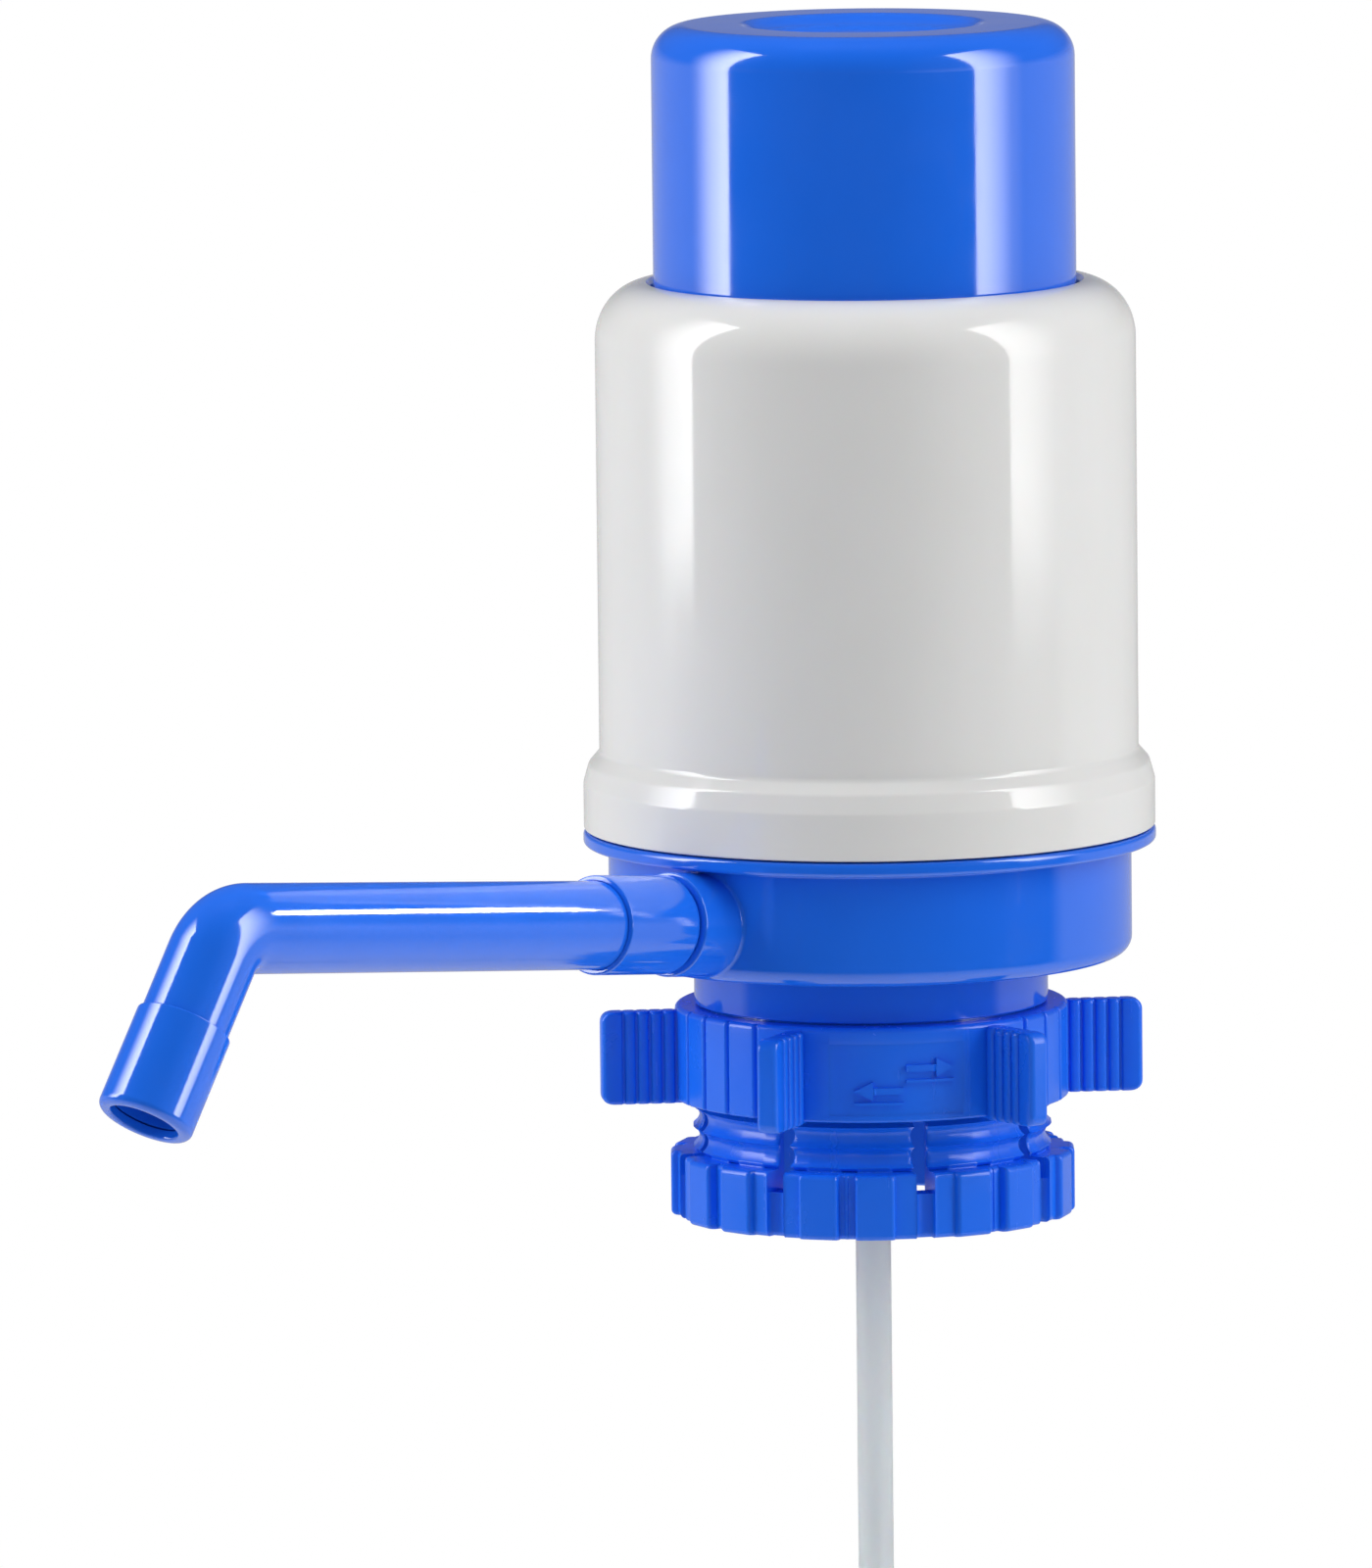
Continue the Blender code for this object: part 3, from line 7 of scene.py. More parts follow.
import logging
import math
from dataclasses import dataclass, replace
from enum import Enum
from typing import Any, Optional, Sequence

import bmesh
import bpy
from mathutils import Matrix, Vector


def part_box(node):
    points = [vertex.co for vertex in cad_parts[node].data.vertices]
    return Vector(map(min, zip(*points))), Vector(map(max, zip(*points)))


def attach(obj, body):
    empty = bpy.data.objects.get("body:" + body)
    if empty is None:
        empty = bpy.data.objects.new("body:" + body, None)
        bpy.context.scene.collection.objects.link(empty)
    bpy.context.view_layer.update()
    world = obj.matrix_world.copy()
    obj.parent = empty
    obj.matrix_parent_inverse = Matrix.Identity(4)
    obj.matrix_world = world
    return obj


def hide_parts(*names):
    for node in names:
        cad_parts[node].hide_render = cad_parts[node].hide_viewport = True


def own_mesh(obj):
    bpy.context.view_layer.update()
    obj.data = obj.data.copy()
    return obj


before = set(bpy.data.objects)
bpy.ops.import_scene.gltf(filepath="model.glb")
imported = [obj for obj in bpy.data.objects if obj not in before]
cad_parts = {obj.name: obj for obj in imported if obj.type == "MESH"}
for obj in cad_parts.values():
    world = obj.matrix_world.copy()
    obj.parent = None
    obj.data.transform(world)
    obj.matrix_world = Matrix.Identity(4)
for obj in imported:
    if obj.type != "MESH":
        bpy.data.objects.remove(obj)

LOG = logging.getLogger("hand_pump")

MM = 0.001
WELD_DISTANCE = 0.002 * MM
SHARP_ANGLE = math.radians(32.0)

# Steps round the mouldings
ROUND_STEPS = 160
TUBE_STEPS = 96
SMALL_STEPS = 64
EDGE_STEPS = 5
THREAD_STEPS = 12
FILLET_STEPS = 14
BROAD_STEPS = 8
HOUSING_STEPS = ROUND_STEPS + 32
EDGE_TURNS = tuple(math.radians(90.0 * k / (EDGE_STEPS - 1)) for k in range(EDGE_STEPS))

# Roundings of edges that run out thin, that a mould leaves crisp, and that a hand meets
THIN = 0.1 * MM
CRISP = 0.3 * MM
SOFT = 0.4 * MM

# Share of a groove's depth that its walls lean in by
WALL_LEAN = 0.12

# The spout's axis leaves the pump's axis at this height and rises at this angle
SPOUT_RISE = math.radians(6.0)
SPOUT_AXIS_HEIGHT = 11.399 * MM

Point = tuple[float, float]
Colour = tuple[float, float, float]
UP = Vector((0.0, 0.0, 1.0))
WHITE = (1.0, 1.0, 1.0, 1.0)


class Body(str, Enum):
    """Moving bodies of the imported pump."""

    PUMP = "pump_body"
    PLUNGER = "plunger"
    SPOUT = "spout"
    RING = "ring"
    GRIP = "grip"


class Slot(str, Enum):
    """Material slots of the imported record."""

    BLUE_GLOSS = "blue_gloss"
    BLUE_SATIN = "blue_satin"
    WHITE_GLOSS = "white_gloss"
    MILKY = "milky_plastic"
    GREY = "grey_plastic"
    RUBBER = "seal_rubber"
    STEEL = "steel"


# ----- Sections and surfaces


@dataclass(frozen=True)
class Corner:
    """One corner of a turned section.

    Attributes:
        radius: Distance from the turning axis.
        height: Distance along the turning axis.
        rounding: Radius of the corner, or 0 for a crisp one.
        steps: Steps of the rounding.
    """

    radius: float
    height: float
    rounding: float = 0.0
    steps: int = EDGE_STEPS


def arc(centre: Point, radii: Point, start: float, end: float, steps: int) -> list[Corner]:
    """Lay crisp corners along an arc of an ellipse.

    Args:
        centre: Radius and height of the ellipse's centre.
        radii: Its half axes across and along the turning axis.
        start: First angle in degrees.
        end: Last angle in degrees.
        steps: Number of steps between them.

    Returns:
        The corners, both ends included.
    """
    found = []
    for i in range(steps + 1):
        angle = math.radians(start + (end - start) * i / steps)
        radius = centre[0] + radii[0] * math.cos(angle)
        found.append(Corner(radius, centre[1] + radii[1] * math.sin(angle)))
    return found


def rounded(corners: Sequence[Corner], closed: bool = True) -> list[Point]:
    """Round the corners of a section.

    Args:
        corners: The section's corners in order.
        closed: Whether the last corner joins the first.

    Returns:
        The points of the rounded section.
    """
    points: list[Point] = []
    count = len(corners)
    for i, corner in enumerate(corners):
        if corner.rounding == 0.0 or (not closed and i in (0, count - 1)):
            points.append((corner.radius, corner.height))
            continue
        here = Vector((corner.radius, corner.height))
        before, after = corners[i - 1], corners[(i + 1) % count]
        back = (Vector((before.radius, before.height)) - here).normalized()
        ahead = (Vector((after.radius, after.height)) - here).normalized()
        half = back.angle(ahead) / 2
        reach = corner.rounding / math.tan(half)
        centre = here + (back + ahead).normalized() * (corner.rounding / math.sin(half))
        first = here + back * reach - centre
        last = here + ahead * reach - centre
        start = math.atan2(first.y, first.x)
        sweep = math.remainder(math.atan2(last.y, last.x) - start, math.tau)
        for k in range(corner.steps + 1):
            angle = start + sweep * k / corner.steps
            out, up = corner.rounding * math.cos(angle), corner.rounding * math.sin(angle)
            points.append((centre.x + out, centre.y + up))
    return points


def polar(radius: float, angle: float, height: float) -> Vector:
    """Point at a radius and an angle round the Z axis."""
    return Vector((radius * math.cos(angle), radius * math.sin(angle), height))


def circle(steps: int) -> list[float]:
    """Even angles once round."""
    return [math.tau * i / steps for i in range(steps)]


def merge(surface: bmesh.types.BMesh, other: bmesh.types.BMesh) -> None:
    """Move one surface into another.

    Args:
        surface: The surface that takes the faces.
        other: The surface that gives them, which is used up.
    """
    spare = bpy.data.meshes.new("spare")
    other.to_mesh(spare)
    other.free()
    surface.from_mesh(spare)
    bpy.data.meshes.remove(spare)


def skin(rings: Sequence[Sequence[Vector]], closed: bool = True) -> bmesh.types.BMesh:
    """Join rings of points into one closed surface.

    Args:
        rings: Rings with the same number of points.
        closed: Whether the last ring joins the first. Otherwise both ends are filled.

    Returns:
        The surface, its normals outwards.
    """
    surface = bmesh.new()
    made = [[surface.verts.new(point) for point in ring] for ring in rings]
    size = len(made[0])
    for k in range(len(made) if closed else len(made) - 1):
        lower, upper = made[k], made[(k + 1) % len(made)]
        for i in range(size):
            j = (i + 1) % size
            surface.faces.new((lower[i], lower[j], upper[j], upper[i]))
    if not closed:
        surface.faces.new(made[0])
        surface.faces.new(made[-1])
    bmesh.ops.remove_doubles(surface, verts=surface.verts, dist=WELD_DISTANCE)
    bmesh.ops.recalc_face_normals(surface, faces=surface.faces)
    return surface


def turned(section: Sequence[Point], steps: int = ROUND_STEPS, closed: bool = True) -> bmesh.types.BMesh:
    """Turn a section about the local Z axis.

    Args:
        section: Radius and height of each point.
        steps: Steps round the axis.
        closed: Whether the section is a closed loop. An open one starts and ends on the axis.

    Returns:
        The turned surface.
    """
    rings = [[polar(radius, angle, height) for angle in circle(steps)] for radius, height in section]
    return skin(rings, closed)


def spout_frame() -> Matrix:
    """Place of the spout's axis: local Z runs out along it, local Y stands up from it."""
    across = Vector((1.0, 0.0, 0.0))
    upwards = Vector((0.0, math.sin(SPOUT_RISE), math.cos(SPOUT_RISE)))
    outwards = Vector((0.0, -math.cos(SPOUT_RISE), math.sin(SPOUT_RISE)))
    place = Matrix((across, upwards, outwards)).transposed().to_4x4()
    place.translation = UP * SPOUT_AXIS_HEIGHT
    return place


def piece(name: str, surface: bmesh.types.BMesh, place: Optional[Matrix] = None) -> bpy.types.Object:
    """Make an object of a surface, with its place kept in the mesh.

    Args:
        name: Name of the piece.
        surface: Its surface, which is used up.
        place: Where the surface stands, if it isn't in the pump's frame.

    Returns:
        The object, smooth but for its sharp edges.
    """
    if place is not None:
        surface.transform(place)
    mesh = bpy.data.meshes.new(name)
    surface.to_mesh(mesh)
    surface.free()
    return add_object(name, mesh)


def add_object(name: str, mesh: bpy.types.Mesh) -> bpy.types.Object:
    """Put a mesh in the scene.

    Args:
        name: Name of the object.
        mesh: Its mesh.

    Returns:
        The object.
    """
    thing = bpy.data.objects.new(name, mesh)
    bpy.context.scene.collection.objects.link(thing)
    if mesh.polygons:
        even_shading(thing)
    return thing


def plain_result(thing: bpy.types.Object) -> bpy.types.Mesh:
    """Mesh of an object with its modifiers worked in."""
    graph = bpy.context.evaluated_depsgraph_get()
    return bpy.data.meshes.new_from_object(thing.evaluated_get(graph), depsgraph=graph)


def even_shading(thing: bpy.types.Object) -> None:
    """Shade a piece smooth, with sharp edges crisp and wide faces flat.

    Args:
        thing: The piece.
    """
    thing.data.shade_smooth()
    thing.data.set_sharp_from_angle(angle=SHARP_ANGLE)
    weighted = thing.modifiers.new("even_shading", "WEIGHTED_NORMAL")
    weighted.keep_sharp = True
    mesh = plain_result(thing)
    thing.modifiers.remove(weighted)
    thing.data = mesh


# ----- Node trees


class Nodes:
    """A node tree under construction."""

    def __init__(self, tree: bpy.types.NodeTree) -> None:
        """Take the tree."""
        self.tree = tree

    def add(self, kind: str, **sources: Any) -> bpy.types.Node:
        """Add a node.

        Args:
            kind: Type of the node.
            **sources: A setting of the node, or a socket or a value for one of its inputs, as
                feed takes them.

        Returns:
            The node.
        """
        node = self.tree.nodes.new(kind)
        settings = [key for key in sources if hasattr(node, key)]
        for key in settings:
            setattr(node, key, sources.pop(key))
        self.feed(node, **sources)
        return node

    def feed(self, node: bpy.types.Node, **sources: Any) -> None:
        """Link or set a node's inputs.

        Args:
            node: The node.
            **sources: A socket or a value for each input, by name with underscores for spaces,
                or as _0, _1 by number.
        """
        for key, source in sources.items():
            by_number = key[1:].isdigit()
            socket = node.inputs[int(key[1:]) if by_number else key.replace("_", " ")]
            if isinstance(source, bpy.types.NodeSocket):
                self.tree.links.new(source, socket)
            else:
                socket.default_value = source

    def reckon(self, operation: str, *values: Any) -> bpy.types.NodeSocket:
        """Result of a Math node.

        Args:
            operation: Its operation.
            *values: A socket or a number for each input.

        Returns:
            The result.
        """
        inputs = {f"_{i}": value for i, value in enumerate(values)}
        return self.add("ShaderNodeMath", operation=operation, **inputs).outputs[0]

    def ramp(
        self,
        source: bpy.types.NodeSocket,
        low: float,
        high: float,
        clear: Point = (0.3, 0.7),
        **settings: str,
    ) -> bpy.types.NodeSocket:
        """Spread a strength between two values.

        Args:
            source: The strength.
            low: Value at its lower end.
            high: Value at its upper end.
            clear: The ends.
            **settings: Further settings of the Map Range node.

        Returns:
            The spread value.
        """
        ends = {"From_Min": clear[0], "From_Max": clear[1], "To_Min": low, "To_Max": high}
        return self.add("ShaderNodeMapRange", Value=source, **ends, **settings).outputs[0]

    def along(self, source: bpy.types.NodeSocket, direction: Vector) -> bpy.types.NodeSocket:
        """How far a vector goes in a direction.

        Args:
            source: The vector.
            direction: The direction, of length 1.

        Returns:
            The distance.
        """
        node = self.add("ShaderNodeVectorMath", operation="DOT_PRODUCT", _0=source, _1=direction)
        return node.outputs["Value"]


class Recipe(Nodes):
    """A Geometry Nodes tree with named inputs, run once on an object."""

    def __init__(self, name: str) -> None:
        """Start an empty tree with its geometry input and output.

        Args:
            name: Name of the tree.
        """
        super().__init__(bpy.data.node_groups.new(name, "GeometryNodeTree"))
        for way in ("INPUT", "OUTPUT"):
            self.tree.interface.new_socket("Geometry", in_out=way, socket_type="NodeSocketGeometry")
        self.entry = self.tree.nodes.new("NodeGroupInput")
        self.exit = self.tree.nodes.new("NodeGroupOutput")

    def size(self, name: str, kind: str = "NodeSocketFloat") -> bpy.types.NodeSocket:
        """Add a named input.

        Args:
            name: Name of the input.
            kind: Type of its socket.

        Returns:
            The socket that gives its value.
        """
        self.tree.interface.new_socket(name, in_out="INPUT", socket_type=kind)
        return self.entry.outputs[name]

    def close(self, geometry: bpy.types.NodeSocket) -> None:
        """End the tree in Realize Instances and Set Material.

        Args:
            geometry: The finished geometry.
        """
        real = self.add("GeometryNodeRealizeInstances", Geometry=geometry)
        weld = self.add("GeometryNodeMergeByDistance", Geometry=real.outputs[0], Distance=WELD_DISTANCE)
        material = self.size("Finish", "NodeSocketMaterial")
        dressed = self.add("GeometryNodeSetMaterial", Geometry=weld.outputs[0], Material=material)
        self.feed(self.exit, Geometry=dressed.outputs[0])

    def run(self, thing: bpy.types.Object, **values: Any) -> bpy.types.Object:
        """Run the tree on an object and keep the result as its plain mesh.

        Args:
            thing: The object.
            **values: The inputs by name, with underscores for spaces.

        Returns:
            The same object.
        """
        modifier = thing.modifiers.new(self.tree.name, "NODES")
        modifier.node_group = self.tree
        for item in self.tree.interface.items_tree:
            key = item.name.replace(" ", "_")
            if item.in_out == "INPUT" and key in values:
                modifier[item.identifier] = values[key]
        mesh = plain_result(thing)
        thing.modifiers.remove(modifier)
        surface = bmesh.new()
        surface.from_mesh(mesh)
        bmesh.ops.recalc_face_normals(surface, faces=surface.faces)
        surface.to_mesh(mesh)
        surface.free()
        thing.data = mesh
        even_shading(thing)
        return thing


def round_array() -> Recipe:
    """Tree that repeats one moulding round the pump's axis.

    Returns:
        The tree, with inputs Count, First Angle and Step Angle in radians.
    """
    recipe = Recipe("round_array")
    count = recipe.size("Count", "NodeSocketInt")
    first = recipe.size("First Angle")
    step = recipe.size("Step Angle")
    places = recipe.add("GeometryNodeMeshLine", mode="OFFSET", Count=count, Offset=(0.0, 0.0, 0.0))
    index = recipe.add("GeometryNodeInputIndex")
    angle = recipe.reckon("MULTIPLY_ADD", index.outputs[0], step, first)
    turn = recipe.add("ShaderNodeCombineXYZ", Z=angle)
    rotation = recipe.add("FunctionNodeEulerToRotation", Euler=turn.outputs[0])
    copies = recipe.add(
        "GeometryNodeInstanceOnPoints",
        Points=places.outputs[0],
        Instance=recipe.entry.outputs["Geometry"],
        Rotation=rotation.outputs[0],
    )
    recipe.close(copies.outputs[0])
    return recipe


def coiled_wire() -> Recipe:
    """Tree that winds a spring of even pitch.

    Returns:
        The tree, with inputs Turns, Coil Radius, Wire Radius, Height and Bottom.
    """
    recipe = Recipe("coiled_wire")
    names = ("Turns", "Coil Radius", "Wire Radius", "Height", "Bottom")
    turns, coil, wire, height, bottom = (recipe.size(name) for name in names)
    spiral = recipe.add(
        "GeometryNodeCurveSpiral",
        Resolution=40,
        Rotations=turns,
        Start_Radius=coil,
        End_Radius=coil,
        Height=height,
    )
    lift = recipe.add("ShaderNodeCombineXYZ", Z=bottom)
    raised = recipe.add("GeometryNodeSetPosition", Geometry=spiral.outputs[0], Offset=lift.outputs[0])
    round_wire = recipe.add("GeometryNodeCurvePrimitiveCircle", Resolution=12, Radius=wire)
    swept = recipe.add(
        "GeometryNodeCurveToMesh",
        Curve=raised.outputs[0],
        Profile_Curve=round_wire.outputs[0],
        Fill_Caps=True,
    )
    recipe.close(swept.outputs[0])
    return recipe


# ----- Finishes


class Shader(Nodes):
    """A node material under construction."""

    def __init__(self, name: str) -> None:
        """Start a material with its main shader.

        Args:
            name: Name of the material.
        """
        self.material = bpy.data.materials.new(name)
        self.material.use_nodes = True
        super().__init__(self.material.node_tree)
        self.main = self.tree.nodes["Principled BSDF"]
        self.place = self.add("ShaderNodeTexCoord").outputs["Object"]

    def noise(self, size: float, detail: float, stretch: Colour = (1.0, 1.0, 1.0)) -> bpy.types.NodeSocket:
        """Noise on the piece's own coordinates.

        Args:
            size: Width of one patch in metres.
            detail: Octaves of the noise.
            stretch: Factors on the three axes.

        Returns:
            Its strength from 0 to 1.
        """
        place = self.add("ShaderNodeMapping", Vector=self.place, Scale=stretch).outputs[0]
        return self.add("ShaderNodeTexNoise", Vector=place, Scale=1.0 / size, Detail=detail).outputs[0]

    def blend(self, share: bpy.types.NodeSocket, first: Colour, second: Colour) -> bpy.types.NodeSocket:
        """Mix two colours.

        Args:
            share: Share of the second colour.
            first: First colour.
            second: Second colour.

        Returns:
            The mixed colour.
        """
        node = self.add("ShaderNodeMix", data_type="RGBA", _0=share, _6=(*first, 1.0), _7=(*second, 1.0))
        return node.outputs[2]

    def bump(self, layers: Sequence[tuple[bpy.types.NodeSocket, float]]) -> bpy.types.NodeSocket:
        """Stack bumps on each other.

        Args:
            layers: The height of each layer from 0 to 1, and its depth in metres.

        Returns:
            The bumped normal.
        """
        normal: Optional[bpy.types.NodeSocket] = None
        for height, depth in layers:
            node = self.add("ShaderNodeBump", Height=height, Distance=depth, Strength=1.0)
            if normal is not None:
                self.tree.links.new(normal, node.inputs["Normal"])
            normal = node.outputs[0]
        return normal


@dataclass(frozen=True)
class MouldedPlastic:
    """Injection moulded plastic: a faint swirl of colour, sink ripples and a fine grain.

    Attributes:
        name: Name of the material.
        slot: Slot of the record that the finish belongs to.
        colour: Main colour.
        swirl: Colour of the faint swirls.
        roughness: Lowest and highest roughness.
        swirl_size: Width of a swirl.
        ripple: Width and depth of the slow ripples.
        grain: Width and depth of the fine grain.
        scuff: Roughness that fine hairlines add.
        hairline: Width of a hairline, and the range of the noise that shows one.
        patch_size: Width of a patch of even roughness.
        glow: Share of the light that passes below the surface.
        glow_depth: How deep that light goes.
        clear: Share of the light that passes through the wall.
        gleam: Strength of its reflections, where 0.5 is the index's own.
        index: Refractive index.
    """

    name: str
    slot: Slot
    colour: Colour
    swirl: Colour
    roughness: Point
    swirl_size: float = 22.0 * MM
    ripple: Point = (16.0 * MM, 0.0015 * MM)
    grain: Point = (0.35 * MM, 0.0006 * MM)
    scuff: float = 0.04
    hairline: tuple[float, Point] = (1.6 * MM, (0.62, 0.78))
    patch_size: float = 9.0 * MM
    glow: float = 0.0
    glow_depth: float = 2.0 * MM
    clear: float = 0.0
    gleam: float = 0.5
    index: float = 1.45

    def material(self) -> bpy.types.Material:
        """Build the node material."""
        shader = Shader(self.name)
        swirls = shader.ramp(shader.noise(self.swirl_size, 3.0, (1.0, 1.0, 0.6)), 0.0, 1.0)
        colour = shader.blend(swirls, self.colour, self.swirl)
        width, shown = self.hairline
        scuffs = shader.ramp(shader.noise(width, 2.0, (1.0, 1.0, 0.06)), 0.0, self.scuff, shown)
        patches = shader.ramp(shader.noise(self.patch_size, 4.0), *self.roughness)
        ripples = shader.noise(self.ripple[0], 1.0), self.ripple[1]
        grain = shader.noise(self.grain[0], 2.0), self.grain[1]
        shader.feed(
            shader.main,
            Base_Color=colour,
            Roughness=shader.reckon("ADD", patches, scuffs),
            Normal=shader.bump((ripples, grain)),
            IOR=self.index,
            Specular_IOR_Level=self.gleam,
            Subsurface_Weight=self.glow,
            Subsurface_Scale=self.glow_depth,
            Transmission_Weight=self.clear,
        )
        return shader.material


@dataclass(frozen=True)
class DrawnSteel:
    """Drawn stainless wire and turned screws, with fine lines along the wire.

    Attributes:
        name: Name of the material.
        slot: Slot of the record that the finish belongs to.
        colour: Colour of the metal.
        roughness: Lowest and highest roughness.
        line_size: Width of the noise that makes the lines.
        line_tint: Brightness of the lines against the metal.
        line_depth: Depth of the lines.
    """

    name: str
    slot: Slot
    colour: Colour
    roughness: Point
    line_size: float = 0.4 * MM
    line_tint: float = 0.86
    line_depth: float = 0.004 * MM

    def material(self) -> bpy.types.Material:
        """Build the node material."""
        shader = Shader(self.name)
        lines = shader.noise(self.line_size, 3.0, (1.0, 1.0, 0.2))
        tint = tuple(self.line_tint * part for part in self.colour)
        shader.feed(
            shader.main,
            Base_Color=shader.blend(lines, self.colour, tint),
            Roughness=shader.ramp(lines, *self.roughness),
            Normal=shader.bump(((lines, self.line_depth),)),
            Metallic=1.0,
        )
        return shader.material


BLUE_GLOSS = MouldedPlastic(
    "blue_gloss",
    Slot.BLUE_GLOSS,
    (0.010, 0.152, 0.860),
    (0.013, 0.162, 0.900),
    (0.07, 0.12),
    scuff=0.05,
    gleam=0.75,
    index=1.68,
)
BLUE_SATIN = MouldedPlastic(
    "blue_satin",
    Slot.BLUE_SATIN,
    (0.006, 0.148, 0.900),
    (0.009, 0.160, 0.940),
    (0.22, 0.28),
    grain=(0.30 * MM, 0.001 * MM),
    gleam=0.6,
    index=1.52,
)
WHITE_GLOSS = MouldedPlastic(
    "white_gloss",
    Slot.WHITE_GLOSS,
    (0.780, 0.780, 0.770),
    (0.800, 0.800, 0.795),
    (0.06, 0.10),
    glow=0.06,
    index=1.58,
)
MILKY = MouldedPlastic(
    "milky_plastic", Slot.MILKY, (0.88, 0.92, 0.95), (0.92, 0.95, 0.97), (0.28, 0.36), clear=0.65, glow=0.2
)
GREY = MouldedPlastic("grey_plastic", Slot.GREY, (0.50, 0.52, 0.55), (0.55, 0.57, 0.60), (0.36, 0.46))
RUBBER = MouldedPlastic(
    "seal_rubber",
    Slot.RUBBER,
    (0.66, 0.67, 0.69),
    (0.72, 0.73, 0.75),
    (0.50, 0.62),
    grain=(0.5 * MM, 0.006 * MM),
)
STEEL = DrawnSteel("steel", Slot.STEEL, (0.62, 0.62, 0.64), (0.22, 0.38))


class Paint:
    """The finishes as materials, each made once."""

    def __init__(self) -> None:
        """Start with no material made."""
        self.made: dict[str, bpy.types.Material] = {}

    def of(self, finish: Any) -> bpy.types.Material:
        """Material of a finish, made at its first use.

        Args:
            finish: The finish.

        Returns:
            Its material.
        """
        if finish.name not in self.made:
            self.made[finish.name] = finish.material()
        return self.made[finish.name]

    def dress(self, thing: bpy.types.Object, finish: Any, body: Body, *nodes: str) -> bpy.types.Object:
        """Give a piece its finish and its body.

        Args:
            thing: The piece.
            finish: Its finish.
            body: The body that it rides on.
            *nodes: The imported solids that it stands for.

        Returns:
            The piece.
        """
        thing.data.materials.clear()
        thing.data.materials.append(self.of(finish))
        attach(thing, body.value)
        if nodes:
            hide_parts(*nodes)
        LOG.info("%s: %s on %s, %d faces", thing.name, finish.name, body.value, len(thing.data.polygons))
        return thing

    def coat(self, node: str, finish: Any) -> None:
        """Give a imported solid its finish.

        Args:
            node: Name of the solid.
            finish: Its finish.
        """
        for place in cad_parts[node].material_slots:
            place.link = "OBJECT"
            place.material = self.of(finish)
        LOG.info("%s: %s", node, finish.name)


# ----- Sub-assemblies


@dataclass
class Plunger:
    """Press cap: a deep cup with a rounded edge and a shallow dish for the palm."""

    radius: float = 35.85 * MM
    wall: float = 2.0 * MM
    top: float = 165.0 * MM
    edge_rounding: float = 5.75 * MM
    dish_radius: float = 20.0 * MM
    dish_floor_radius: float = 17.6 * MM
    dish_depth: float = 1.7 * MM
    dish_floor_rounding: float = 5.4 * MM
    dish_rim_rounding: float = 3.4 * MM
    underside_rounding: float = 1.0 * MM
    stop_radius: float = 40.45 * MM
    stop_top: float = 105.5 * MM
    bottom: float = 103.1 * MM

    def section(self) -> list[Point]:
        """Section of the cup with its dish and the stop round its lower edge."""
        ceiling = self.top - self.wall
        bore = self.radius - self.wall
        floor = self.top - self.dish_depth
        corners = [
            Corner(0.0, floor),
            Corner(self.dish_floor_radius, floor, self.dish_floor_rounding, BROAD_STEPS),
            Corner(self.dish_radius, self.top, self.dish_rim_rounding, BROAD_STEPS),
            Corner(self.radius, self.top, self.edge_rounding, FILLET_STEPS),
            Corner(self.radius, self.stop_top, CRISP),
            Corner(self.stop_radius, self.stop_top, SOFT),
            Corner(self.stop_radius, self.bottom, SOFT),
            Corner(bore, self.bottom, SOFT),
            Corner(bore, ceiling, self.edge_rounding - self.wall, BROAD_STEPS),
            Corner(self.dish_radius + self.wall, ceiling, self.underside_rounding),
            Corner(self.dish_floor_radius + self.wall, floor - self.wall, self.underside_rounding),
            Corner(0.0, floor - self.wall),
        ]
        return rounded(corners, closed=False)

    def build(self, paint: Paint) -> None:
        """Make the cap and coat the spring seat under it.

        Args:
            paint: The finishes.
        """
        cap = piece("press_cap_moulding", turned(self.section(), closed=False))
        paint.dress(cap, BLUE_GLOSS, Body.PLUNGER, "press_cap")
        paint.coat("spring_seat", GREY)


